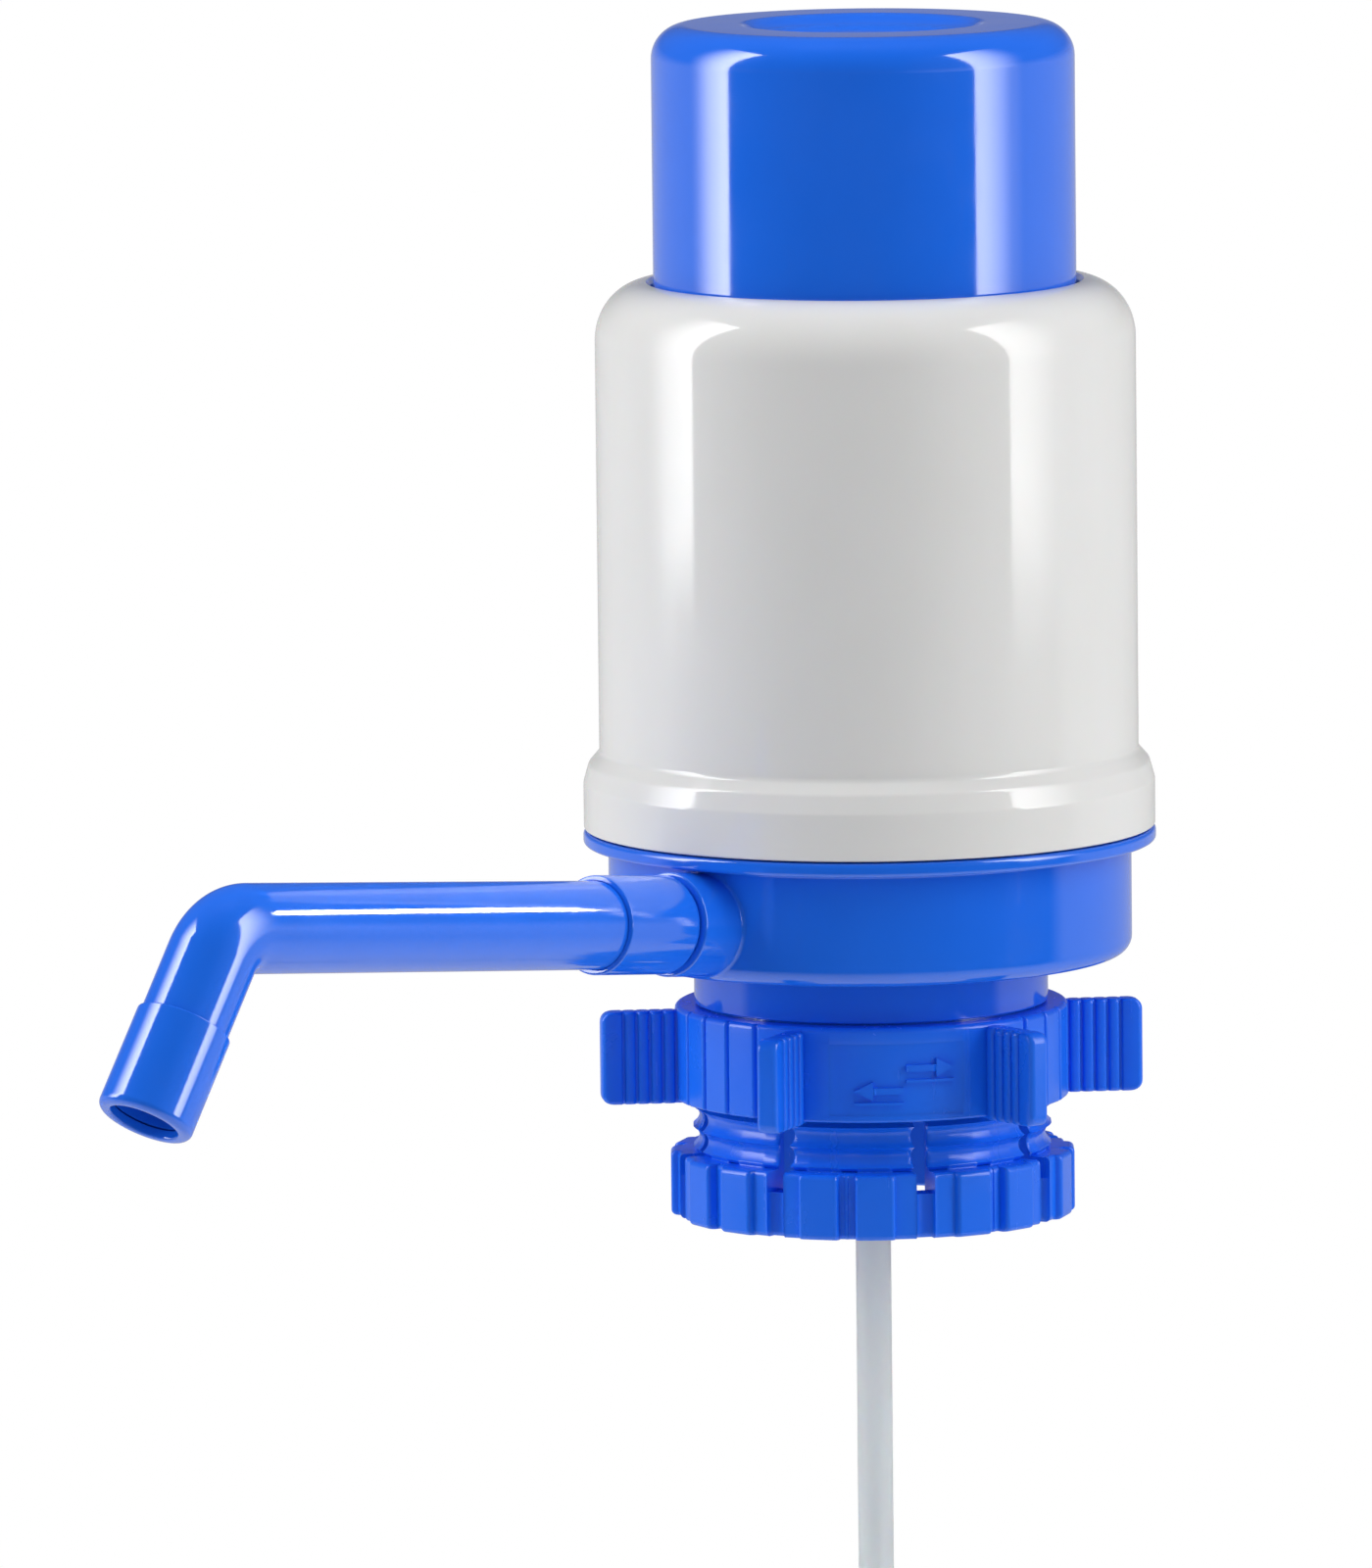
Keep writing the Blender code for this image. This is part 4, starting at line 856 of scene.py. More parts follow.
@dataclass
class Housing:
    """White housing: rounded shoulder, plain body, stepped skirt and the cap's guide sleeve."""

    radius: float = 45.85 * MM
    wall: float = 2.0 * MM
    bottom: float = 28.3 * MM
    skirt_radius: float = 48.6 * MM
    skirt_top: float = 36.8 * MM
    body_bottom: float = 41.5 * MM
    body_top: float = 111.5 * MM
    step_inset: float = 0.9 * MM
    step_drop: float = 2.1 * MM
    shoulder_height: float = 9.9 * MM
    opening_radius: float = 36.5 * MM
    lip_width: float = 0.6 * MM
    rim: float = 120.5 * MM
    rim_rounding: float = 0.5 * MM
    body_rounding: float = 1.4 * MM
    step_rounding: float = 1.6 * MM
    skirt_rounding: float = 2.0 * MM
    skirt_slope: float = 0.6 * MM
    sleeve_wall: float = 1.7 * MM
    sleeve_bottom: float = 105.8 * MM

    def section(self) -> list[Point]:
        """Section of the shell, down the outside and up the inside."""
        lip = self.opening_radius + self.lip_width
        shoulder = (self.radius - lip, self.shoulder_height)
        inner_shoulder = (shoulder[0] - self.wall, shoulder[1] - self.wall)
        skirt_bore = self.skirt_radius - self.wall
        sleeve = self.opening_radius + self.sleeve_wall
        corners = [Corner(self.opening_radius, self.rim, self.rim_rounding)]
        corners += arc((lip, self.body_top), shoulder, 90.0, 0.0, 24)
        corners += [
            Corner(self.radius, self.body_bottom, self.body_rounding, BROAD_STEPS),
            Corner(
                self.skirt_radius - self.step_inset,
                self.body_bottom - self.step_drop,
                self.step_rounding,
                BROAD_STEPS,
            ),
            Corner(
                self.skirt_radius,
                self.skirt_top - self.skirt_slope,
                self.skirt_rounding,
                BROAD_STEPS,
            ),
            Corner(self.skirt_radius, self.bottom, SOFT),
            Corner(skirt_bore, self.bottom, CRISP),
            Corner(skirt_bore, self.skirt_top - self.wall / 2),
            Corner(self.radius - self.wall, self.body_bottom - self.wall / 2),
        ]
        corners += arc((lip, self.body_top), inner_shoulder, 0.0, 75.0, 12)
        corners += [
            Corner(sleeve, self.body_top + inner_shoulder[1] - self.wall / 2),
            Corner(sleeve, self.sleeve_bottom, CRISP),
            Corner(self.opening_radius, self.sleeve_bottom, CRISP),
        ]
        return rounded(corners)

    def build(self, paint: Paint) -> None:
        """Make the housing.

        Args:
            paint: The finishes.
        """
        shell = piece("housing_shell", turned(self.section(), HOUSING_STEPS))
        paint.dress(shell, WHITE_GLOSS, Body.PUMP, "upper_housing")


@dataclass
class Base:
    """Blue base: chamber under a thin flange, smooth neck, dip tube socket and spout boss."""

    chamber_radius: float = 44.5 * MM
    chamber_bottom: float = 6.25 * MM
    chamber_rounding: float = 3.0 * MM
    floor: float = 2.2 * MM
    flange_radius: float = 48.7 * MM
    flange_bottom: float = 25.6 * MM
    flange_top: float = 28.0 * MM
    flange_rounding: float = 0.75 * MM
    flange_fillet: float = 0.8 * MM
    register_radius: float = 46.3 * MM
    register_bore: float = 44.7 * MM
    register_top: float = 33.0 * MM
    neck_radius: float = 30.15 * MM
    neck_bore: float = 27.9 * MM
    neck_bottom: float = -6.8 * MM
    neck_fillet: float = 0.9 * MM
    groove_radius: float = 29.1 * MM
    groove_top: float = -1.7 * MM
    groove_bottom: float = -4.8 * MM
    well_underside: float = 3.3 * MM
    well_floor: float = 5.5 * MM
    socket_radius: float = 5.2 * MM
    socket_bore: float = 3.3 * MM
    socket_bottom: float = -10.0 * MM
    socket_fillet: float = 0.6 * MM
    floor_rounding: float = 1.4 * MM
    inlet_radius: float = 2.1 * MM
    boss_radius: float = 8.8 * MM
    boss_bore: float = 7.1 * MM
    boss_end: float = 53.5 * MM
    boss_root_flare: float = 0.55 * MM
    boss_floor: float = 45.8 * MM
    boss_lip: float = 2.0 * MM
    boss_rounding: float = 0.35 * MM
    boss_bore_rounding: float = 0.2 * MM
    root_tries: int = 12

    def section(self) -> list[Point]:
        """Section of the base, down the outside and up the inside."""
        chamber_floor = self.chamber_bottom + self.floor
        chamber_bore = self.chamber_radius - self.floor
        socket_top = self.well_underside - self.floor
        corners = [
            Corner(self.register_bore, self.register_top, CRISP),
            Corner(self.register_radius, self.register_top, CRISP),
            Corner(self.register_radius, self.flange_top),
            Corner(self.flange_radius, self.flange_top, self.flange_rounding),
            Corner(self.flange_radius, self.flange_bottom, self.flange_rounding),
            Corner(self.chamber_radius, self.flange_bottom, self.flange_fillet),
            Corner(self.chamber_radius, self.chamber_bottom, self.chamber_rounding, FILLET_STEPS),
            Corner(self.neck_radius, self.chamber_bottom, self.neck_fillet),
            Corner(self.neck_radius, self.groove_top, CRISP),
            Corner(self.groove_radius, self.groove_top),
            Corner(self.groove_radius, self.groove_bottom),
            Corner(self.neck_radius, self.groove_bottom, CRISP),
            Corner(self.neck_radius, self.neck_bottom, SOFT),
            Corner(self.neck_bore, self.neck_bottom, SOFT),
            Corner(self.neck_bore, self.well_underside, CRISP),
            Corner(self.socket_radius, self.well_underside, self.socket_fillet),
            Corner(self.socket_radius, self.socket_bottom, SOFT),
            Corner(self.socket_bore, self.socket_bottom, CRISP),
            Corner(self.socket_bore, socket_top),
            Corner(self.inlet_radius, socket_top),
            Corner(self.inlet_radius, self.well_floor),
            Corner(self.neck_bore, self.well_floor),
            Corner(self.neck_bore, chamber_floor),
            Corner(chamber_bore, chamber_floor, self.floor_rounding),
            Corner(chamber_bore, self.flange_top),
            Corner(self.register_bore, self.flange_top),
        ]
        return rounded(corners)

    def wall_radius(self, height: float) -> float:
        """Radius of the chamber's outside, with its lower rounding.

        Args:
            height: Height of the place.

        Returns:
            The radius there.
        """
        drop = self.chamber_bottom + self.chamber_rounding - height
        if drop <= 0.0:
            return self.chamber_radius
        drop = min(drop, self.chamber_rounding)
        return self.chamber_radius - self.chamber_rounding + math.sqrt(self.chamber_rounding**2 - drop**2)

    def root_point(self, angle: float, radius: float, stand_off: float) -> Vector:
        """Point of the boss's root, in the spout's frame.

        Args:
            angle: Angle round the spout's axis.
            radius: Distance from the spout's axis.
            stand_off: Distance out from the chamber's wall, along the spout's axis.

        Returns:
            The point.
        """
        place = spout_frame()
        across, upwards = radius * math.cos(angle), radius * math.sin(angle)
        reach = self.chamber_radius
        for _ in range(self.root_tries):
            point = place @ Vector((across, upwards, reach))
            reach -= math.hypot(point.x, point.y) - self.wall_radius(point.z)
        return Vector((across, upwards, reach + stand_off))

    def boss(self) -> bmesh.types.BMesh:
        """Boss that the spout's collar turns in, flared where it meets the chamber."""
        lips = [
            Corner(self.boss_bore, self.boss_floor),
            Corner(self.boss_bore, self.boss_end, self.boss_bore_rounding),
            Corner(self.boss_radius, self.boss_end, self.boss_rounding),
            Corner(self.boss_radius, self.boss_end - self.boss_lip),
        ]
        angles = circle(TUBE_STEPS)
        rings = [[polar(radius, a, reach) for a in angles] for radius, reach in rounded(lips, closed=False)]
        flare = self.boss_root_flare
        for k in range(EDGE_STEPS + 1):
            turn = math.radians(90.0 * k / EDGE_STEPS)
            radius = self.boss_radius + flare * (1.0 - math.cos(turn))
            stand_off = flare * (1.0 - math.sin(turn))
            rings.append([self.root_point(a, radius, stand_off) for a in angles])
        sunk = self.floor / 2
        rings.append([self.root_point(a, self.boss_radius, -sunk) for a in angles])
        return skin(rings)

    def build(self, paint: Paint) -> None:
        """Make the base with its boss, and coat the valves and seals inside it.

        Args:
            paint: The finishes.
        """
        body = piece("base_moulding", turned(self.section(), HOUSING_STEPS))
        paint.dress(body, BLUE_GLOSS, Body.PUMP, "pump_base")
        boss = piece("spout_boss", self.boss(), spout_frame())
        paint.dress(boss, BLUE_GLOSS, Body.PUMP, "pump_base")
        for node in ("bellows_retainer", "inlet_valve_cage"):
            paint.coat(node, GREY)
        for node in ("neck_gasket", "inlet_poppet", "outlet_flap", "collar_oring"):
            paint.coat(node, RUBBER)
        for node in ("flap_pin", "retainer_screw_1", "retainer_screw_2", "retainer_screw_3"):
            paint.coat(node, STEEL)


@dataclass
class Spout:
    """Spout: turning collar, tube with one bend, and the sleeve on its end."""

    plug_radius: float = 6.8 * MM
    plug_start: float = 48.8 * MM
    collar_radius: float = 8.35 * MM
    collar_start: float = 53.8 * MM
    collar_neck_radius: float = 7.6 * MM
    collar_neck: float = 1.0 * MM
    collar_end: float = 72.0 * MM
    collar_bore: float = 4.7 * MM
    rim_rounding: float = 0.35 * MM
    end_rounding: float = 0.25 * MM
    mouth_depth: float = 1.5 * MM
    mouth_end: float = 1.8 * MM
    socket_radius: float = 7.75 * MM
    socket_mouth: float = 7.48 * MM
    socket_floor: float = 57.5 * MM
    groove_radius: float = 5.5 * MM
    groove_middle: float = 51.5 * MM
    groove_half: float = 0.8 * MM
    tube_radius: float = 7.45 * MM
    tube_wall: float = 1.6 * MM
    tube_start: float = 57.8 * MM
    elbow: float = 164.4 * MM
    bend: float = math.radians(62.0)
    bend_radius: float = 9.0 * MM
    leg: float = 33.7 * MM
    sleeve_radius: float = 8.1 * MM
    sleeve_length: float = 18.0 * MM
    sleeve_tip: float = 35.6 * MM
    sleeve_lip: float = 1.6 * MM
    sleeve_rounding: float = 1.3 * MM
    mouth_rounding: float = 0.5 * MM
    sleeve_play: float = 0.3 * MM
    sleeve_draft: float = 0.05 * MM

    def collar(self) -> bmesh.types.BMesh:
        """Collar with its plug, seal groove, tube socket and flared rim."""
        groove_start = self.groove_middle - self.groove_half
        groove_end = self.groove_middle + self.groove_half
        rim = self.collar_start + self.collar_neck
        corners = [
            Corner(self.collar_bore, self.plug_start, CRISP),
            Corner(self.plug_radius, self.plug_start, CRISP),
            Corner(self.plug_radius, groove_start),
            Corner(self.groove_radius, groove_start),
            Corner(self.groove_radius, groove_end),
            Corner(self.plug_radius, groove_end),
            Corner(self.plug_radius, self.collar_start),
            Corner(self.collar_neck_radius, self.collar_start),
            Corner(self.collar_neck_radius, rim, CRISP),
            Corner(self.collar_radius, rim, self.rim_rounding),
            Corner(self.collar_radius, self.collar_end, self.end_rounding),
            Corner(self.socket_mouth, self.collar_end, THIN),
            Corner(self.socket_mouth, self.collar_end - self.mouth_depth),
            Corner(self.socket_radius, self.collar_end - self.mouth_end),
            Corner(self.socket_radius, self.socket_floor),
            Corner(self.collar_bore, self.socket_floor),
        ]
        return turned(rounded(corners), TUBE_STEPS)

    def path(self, reach: float, leg: float) -> list[tuple[Vector, float]]:
        """Middle line of the tube, in the spout's frame.

        Args:
            reach: Where the line starts along the spout's axis.
            leg: How far it goes on past the bend's corner.

        Returns:
            Each place, and how far the line has turned down there.
        """
        tangent = self.bend_radius * math.tan(self.bend / 2)
        places = [(UP * reach, 0.0)]
        steps = FILLET_STEPS * 2
        for k in range(steps + 1):
            turn = self.bend * k / steps
            along = self.elbow - tangent + self.bend_radius * math.sin(turn)
            drop = self.bend_radius * (1.0 - math.cos(turn))
            places.append((Vector((0.0, -drop, along)), turn))
        end = Vector((0.0, -leg * math.sin(self.bend), self.elbow + leg * math.cos(self.bend)))
        places.append((end, self.bend))
        return places

    def tube(self) -> bmesh.types.BMesh:
        """Hollow tube along the middle line, with rounded ends."""
        lip = self.tube_wall / 2
        bore = self.tube_radius - self.tube_wall
        inside = self.path(self.tube_start, self.leg)
        outside = self.path(self.tube_start + lip, self.leg - lip)
        stations = [(middle, turn, self.tube_radius) for middle, turn in outside]
        stations += [(inside[-1][0], self.bend, self.tube_radius - lip / 2)]
        stations += [(middle, turn, bore) for middle, turn in reversed(inside)]
        stations += [(inside[0][0], 0.0, self.tube_radius - lip / 2)]
        across = Vector((1.0, 0.0, 0.0))
        rings = []
        for middle, turn, radius in stations:
            upright = Vector((0.0, math.cos(turn), math.sin(turn)))
            sides = [math.cos(angle) * across + math.sin(angle) * upright for angle in circle(TUBE_STEPS)]
            rings.append([middle + radius * side for side in sides])
        return skin(rings)

    def sleeve(self) -> bmesh.types.BMesh:
        """Sleeve on the tube's end, with a rounded mouth."""
        bore = self.tube_radius + self.sleeve_play
        mouth = self.tube_radius - self.tube_wall
        start = self.sleeve_tip - self.sleeve_length
        stop = self.sleeve_tip - self.sleeve_lip
        corners = [
            Corner(bore, start, THIN),
            Corner(self.sleeve_radius - self.sleeve_draft, start, self.end_rounding),
            Corner(self.sleeve_radius, self.sleeve_tip, self.sleeve_rounding, BROAD_STEPS),
            Corner(mouth, self.sleeve_tip, self.mouth_rounding),
            Corner(mouth, stop),
            Corner(bore, stop),
        ]
        return turned(rounded(corners), TUBE_STEPS)

    def build(self, paint: Paint) -> None:
        """Make the collar, the tube and the sleeve.

        Args:
            paint: The finishes.
        """
        place = spout_frame()
        leg_place = place @ Matrix.Translation(UP * self.elbow) @ Matrix.Rotation(self.bend, 4, "X")
        for node, surface, where in (
            ("spout_collar", self.collar(), place),
            ("spout_tube", self.tube(), place),
            ("nozzle_sleeve", self.sleeve(), leg_place),
        ):
            paint.dress(piece(f"{node}_moulding", surface, where), BLUE_GLOSS, Body.SPOUT, node)


# ----- Ring and collet: turned mouldings with a relief on their outside


@dataclass(frozen=True)
class Row:
    """One line round a relief: its radius and height, and how deep the reliefs cut there.

    Attributes:
        radius: Radius before any relief.
        height: Height.
        first: Share of the columns' first relief.
        second: Share of the columns' second relief.
        flare: Distance that the line reaches out into the slots.
    """

    radius: float
    height: float
    first: float = 0.0
    second: float = 0.0
    flare: float = 0.0


@dataclass(frozen=True)
class Column:
    """One line up a relief.

    Attributes:
        place: Place round the moulding, as a length at its reference radius.
        first: Depth of the first relief.
        second: Depth of the second relief.
        gap: Whether a slot is open from this column to the next.
        side: Which way the column moves with a row's flare, as -1, 0 or 1.
    """

    place: float
    first: float = 0.0
    second: float = 0.0
    gap: bool = False
    side: float = 0.0


def relief(
    rows: Sequence[Row],
    columns: Sequence[Column],
    reference: float,
    slot_rows: int = 0,
    inner_rows: int = 0,
) -> bmesh.types.BMesh:
    """Turn a closed loop of rows over one sector, with reliefs cut by the columns.

    Args:
        rows: The section's loop: down the outside, then up the inside.
        columns: The columns of one sector.
        reference: Radius at which the columns' places are lengths.
        slot_rows: Rows from the loop's start that an open slot cuts, the floor's row included.
        inner_rows: Rows at the loop's end that an open slot cuts, the floor's row included.

    Returns:
        The sector, open at its two ends.
    """
    surface = bmesh.new()
    grid = []
    for column in columns:
        line = []
        for row in rows:
            angle = (column.place + column.side * row.flare) / reference
            radius = row.radius - row.first * column.first - row.second * column.second
            line.append(surface.verts.new(polar(radius, angle, row.height)))
        grid.append(line)
    count = len(rows)
    low, high = slot_rows - 1, count - inner_rows
    for i, (here, after) in enumerate(zip(grid, grid[1:])):
        for j in range(count):
            if columns[i].gap and not low <= j < high:
                continue
            k = (j + 1) % count
            surface.faces.new((here[j], after[j], after[k], here[k]))
        if columns[i].gap:
            surface.faces.new((here[low], after[low], after[high], here[high]))
        if i and columns[i].gap != columns[i - 1].gap:
            surface.faces.new(here[:slot_rows] + here[high:])
    bmesh.ops.remove_doubles(surface, verts=surface.verts, dist=WELD_DISTANCE)
    return surface


def valley(middle: float, width: float, depth: float, rounding: float) -> list[Column]:
    """Columns of one upright groove with rounded edges.

    Args:
        middle: Place of the groove's middle.
        width: Width of its floor.
        depth: Depth of its floor.
        rounding: Radius of its outer edges.

    Returns:
        The columns in order.
    """
    rounding = min(rounding, depth)
    edge = middle - width / 2
    first = []
    for turn in EDGE_TURNS:
        place = edge - rounding + rounding * math.sin(turn)
        first.append(Column(place, rounding * (1.0 - math.cos(turn))))
    first.append(Column(edge + WALL_LEAN * depth, depth))
    second = [Column(2 * middle - column.place, column.first) for column in reversed(first)]
    return first + second


@dataclass
class ClampRing:
    """Clamp ring: fluted and plain sides in turn, six ribbed wings and raised turning marks."""

    radius: float = 33.5 * MM
    bore: float = 30.9 * MM
    lip_bore: float = 29.4 * MM
    lip_thickness: float = 2.5 * MM
    top: float = -2.0 * MM
    bottom: float = -18.1 * MM
    edge_rounding: float = 0.9 * MM
    wing_count: int = 6
    first_wing: float = math.radians(-72.5)
    wing_reach: float = 46.5 * MM
    wing_half: float = 1.5 * MM
    bead_half: float = 1.85 * MM
    bead_width: float = 3.6 * MM
    wing_corner: float = 1.8 * MM
    wing_top: float = -2.6 * MM
    wing_bottom: float = -18.5 * MM
    wing_rib_pitch: float = 2.25 * MM
    wing_rib_height: float = 0.6 * MM
    wing_rib_half: float = 0.40
    wing_rib_squareness: float = 0.6
    wing_rib_count: int = 4
    wing_rib_start: float = 33.7 * MM
    wing_root_depth: float = 1.3 * MM
    wing_nose: float = 0.9 * MM
    wing_edge: float = 0.45 * MM
    wing_corner_steps: int = 6
    bead_slope: float = 0.25 * MM
    flute_count: int = 4
    flute_step: float = math.radians(11.0)
    flute_width: float = 0.4 * MM
    flute_depth: float = 0.6 * MM
    flute_rounding: float = 0.6 * MM
    flute_margin: float = 1.5 * MM
    side_count: int = 3
    side_steps: int = 6
    panel_width: float = 23.5 * MM
    panel_depth: float = 0.3 * MM
    panel_top: float = -4.6 * MM
    panel_bottom: float = -17.0 * MM
    mark_length: float = 8.4 * MM
    mark_rise: float = 0.60 * MM
    mark_sunk: float = -0.05 * MM
    mark_steps: int = 8
    arrow_head: float = 3.2 * MM
    arrow_head_steps: int = 4
    arrow_point: float = 0.08 * MM
    shaft_half: float = 0.55 * MM
    bar_half: float = 0.25 * MM
    bar_gap: float = 0.6 * MM
    lower_mark: tuple[float, float, float] = (-1.0, -3.2 * MM, -12.7 * MM)
    upper_mark: tuple[float, float, float] = (1.0, 5.6 * MM, -8.9 * MM)

    def rows(self) -> list[Row]:
        """Closed loop of the ring's section."""
        corners = [
            Corner(self.lip_bore, self.top),
            Corner(self.radius, self.top, self.edge_rounding),
            Corner(self.radius, self.bottom, self.edge_rounding / 2),
            Corner(self.bore, self.bottom),
        ]
        found: list[Row] = []
        for radius, height in rounded(corners, closed=False):
            share = min(max((radius - self.bore) / (self.radius - self.bore), 0.0), 1.0)
            found.append(Row(radius, height, share))
        below = self.top - self.edge_rounding + WELD_DISTANCE
        upper = next(i for i, row in enumerate(found) if row.height < below) + 1
        step = self.panel_depth
        panel = [
            Row(self.radius, self.panel_top, 1.0, 0.0),
            Row(self.radius, self.panel_top - step, 1.0, 1.0),
            Row(self.radius, self.panel_bottom + step, 1.0, 1.0),
            Row(self.radius, self.panel_bottom, 1.0, 0.0),
        ]
        lip = self.top - self.lip_thickness
        return found[:upper] + panel + found[upper:] + [Row(self.bore, lip), Row(self.lip_bore, lip)]

    def columns(self) -> list[Column]:
        """Columns of a third of the ring, from the middle of one plain side to the next."""
        third = math.tau / self.side_count * self.radius
        half_panel, steps = self.panel_width / 2, self.side_steps
        found = [Column(k * half_panel / steps, 0.0, self.panel_depth) for k in range(steps)]
        found += [Column(half_panel - self.panel_depth, 0.0, self.panel_depth), Column(half_panel)]
        first = third / 2 - self.flute_step * self.radius * (self.flute_count - 1) / 2
        plain = first - self.flute_margin - half_panel
        found += [Column(half_panel + plain * k / steps) for k in range(1, steps)]
        for k in range(self.flute_count):
            centre = first + k * self.flute_step * self.radius
            found += valley(centre, self.flute_width, self.flute_depth, self.flute_rounding)
        mirrored = [Column(third - column.place, column.first, column.second) for column in reversed(found)]
        return found + [column for column in mirrored if column.place > found[-1].place + WELD_DISTANCE]

    def wing(self) -> bmesh.types.BMesh:
        """One wing along +X, with upright ribs on both faces and a bead at its end."""
        hollow = self.wing_half - self.wing_rib_height / 2
        bead, nose, soft = self.wing_reach - self.bead_width, self.wing_nose, self.wing_edge
        plan: list[Point] = [(self.radius - self.wing_root_depth, self.wing_half)]
        steps = EDGE_STEPS * 2
        for k in range(self.wing_rib_count):
            start = self.wing_rib_start + k * self.wing_rib_pitch
            plan.append((start, hollow))
            for i in range(steps + 1):
                turn = math.pi * i / steps
                along = start + self.wing_rib_pitch * (0.5 - self.wing_rib_half * math.cos(turn))
                swell = math.sin(turn) ** self.wing_rib_squareness - 0.5
                plan.append((along, self.wing_half + self.wing_rib_height * swell))
        plan += [(bead, hollow), (bead + self.bead_slope, self.bead_half)]
        for k in range(EDGE_STEPS + 1):
            turn = math.radians(90.0 * k / EDGE_STEPS)
            aside = self.bead_half - nose + nose * math.cos(turn)
            plan.append((self.wing_reach - nose + nose * math.sin(turn), aside))
        plan += [(x, -y) for x, y in reversed(plan)]
        shape = []
        for k in range(self.wing_corner_steps + 1):
            turn = math.radians(90.0 * k / self.wing_corner_steps)
            depth = self.wing_corner * (1.0 - math.cos(turn))
            pull = self.wing_corner * (1.0 - math.sin(turn))
            shape.append((depth, pull, soft * max(0.0, 1.0 - depth / soft) ** 2))
        heights = [(self.wing_top - depth, pull, inset) for depth, pull, inset in shape]
        heights += [(self.wing_bottom + depth, pull, inset) for depth, pull, inset in reversed(shape)]
        limit = self.wing_reach - self.wing_corner * 2
        rings = []
        for height, pull, inset in heights:
            ring = []
            for x, y in plan:
                share = max(0.0, (x - limit) / (self.wing_reach - limit))
                ring.append(Vector((x - pull * share, y - math.copysign(min(inset, abs(y)), y), height)))
            rings.append(ring)
        return skin(rings, closed=False)

    def mark(self, sign: float, middle: float, height: float) -> bmesh.types.BMesh:
        """Raised arrow over a bar, bent round the plain side.

        Args:
            sign: Which way the arrow points, 1 for anticlockwise from above.
            middle: Place of its middle, as a length round the ring.
            height: Height of its shaft's middle.

        Returns:
            The arrow and bar, standing on the panel.
        """
        head, steps, head_steps = self.arrow_head, self.mark_steps, self.arrow_head_steps
        tip = self.mark_length / 2
        neck = tip - head
        bar = -head / 2 - self.bar_gap
        arrow = [(-tip + (neck + tip) * k / steps, 0.0, self.shaft_half) for k in range(steps + 1)]
        for k in range(head_steps + 1):
            half = max(head / 2 * (1.0 - k / head_steps), self.arrow_point)
            arrow.append((neck + head * k / head_steps, 0.0, half))
        line = [(-tip + self.mark_length * k / steps, bar, self.bar_half) for k in range(steps + 1)]
        surface = bmesh.new()
        for strip in (arrow, line):
            rings = []
            for x, centre, half in strip:
                low, high = centre - half, centre + half
                foot, face = self.mark_sunk, self.mark_rise
                corners = ((foot, low), (face, low), (face, high), (foot, high))
                rings.append([Vector((sign * x, out, z)) for out, z in corners])
            merge(surface, skin(rings, closed=False))
        floor = self.radius - self.panel_depth
        for vertex in surface.verts:
            angle = (middle + vertex.co.x) / self.radius
            vertex.co = polar(floor + vertex.co.y, angle, height + vertex.co.z)
        bmesh.ops.recalc_face_normals(surface, faces=surface.faces)
        return surface

    def build(self, paint: Paint, array: Recipe) -> None:
        """Make the ring, its wings and its marks.

        Args:
            paint: The finishes.
            array: Tree that repeats a moulding round the axis.
        """
        plain_side = self.first_wing + math.tau / self.wing_count / 2
        band = relief(self.rows(), self.columns(), self.radius)
        marks = self.mark(*self.lower_mark)
        merge(marks, self.mark(*self.upper_mark))
        for name, surface, count, first in (
            ("clamp_ring_band", band, self.side_count, plain_side),
            ("clamp_ring_wings", self.wing(), self.wing_count, self.first_wing),
            ("turning_marks", marks, self.side_count, plain_side),
        ):
            thing = piece(name, surface)
            step = math.tau / count
            array.run(thing, Count=count, First_Angle=first, Step_Angle=step, Finish=paint.of(BLUE_SATIN))
            paint.dress(thing, BLUE_SATIN, Body.RING, "clamp_ring")


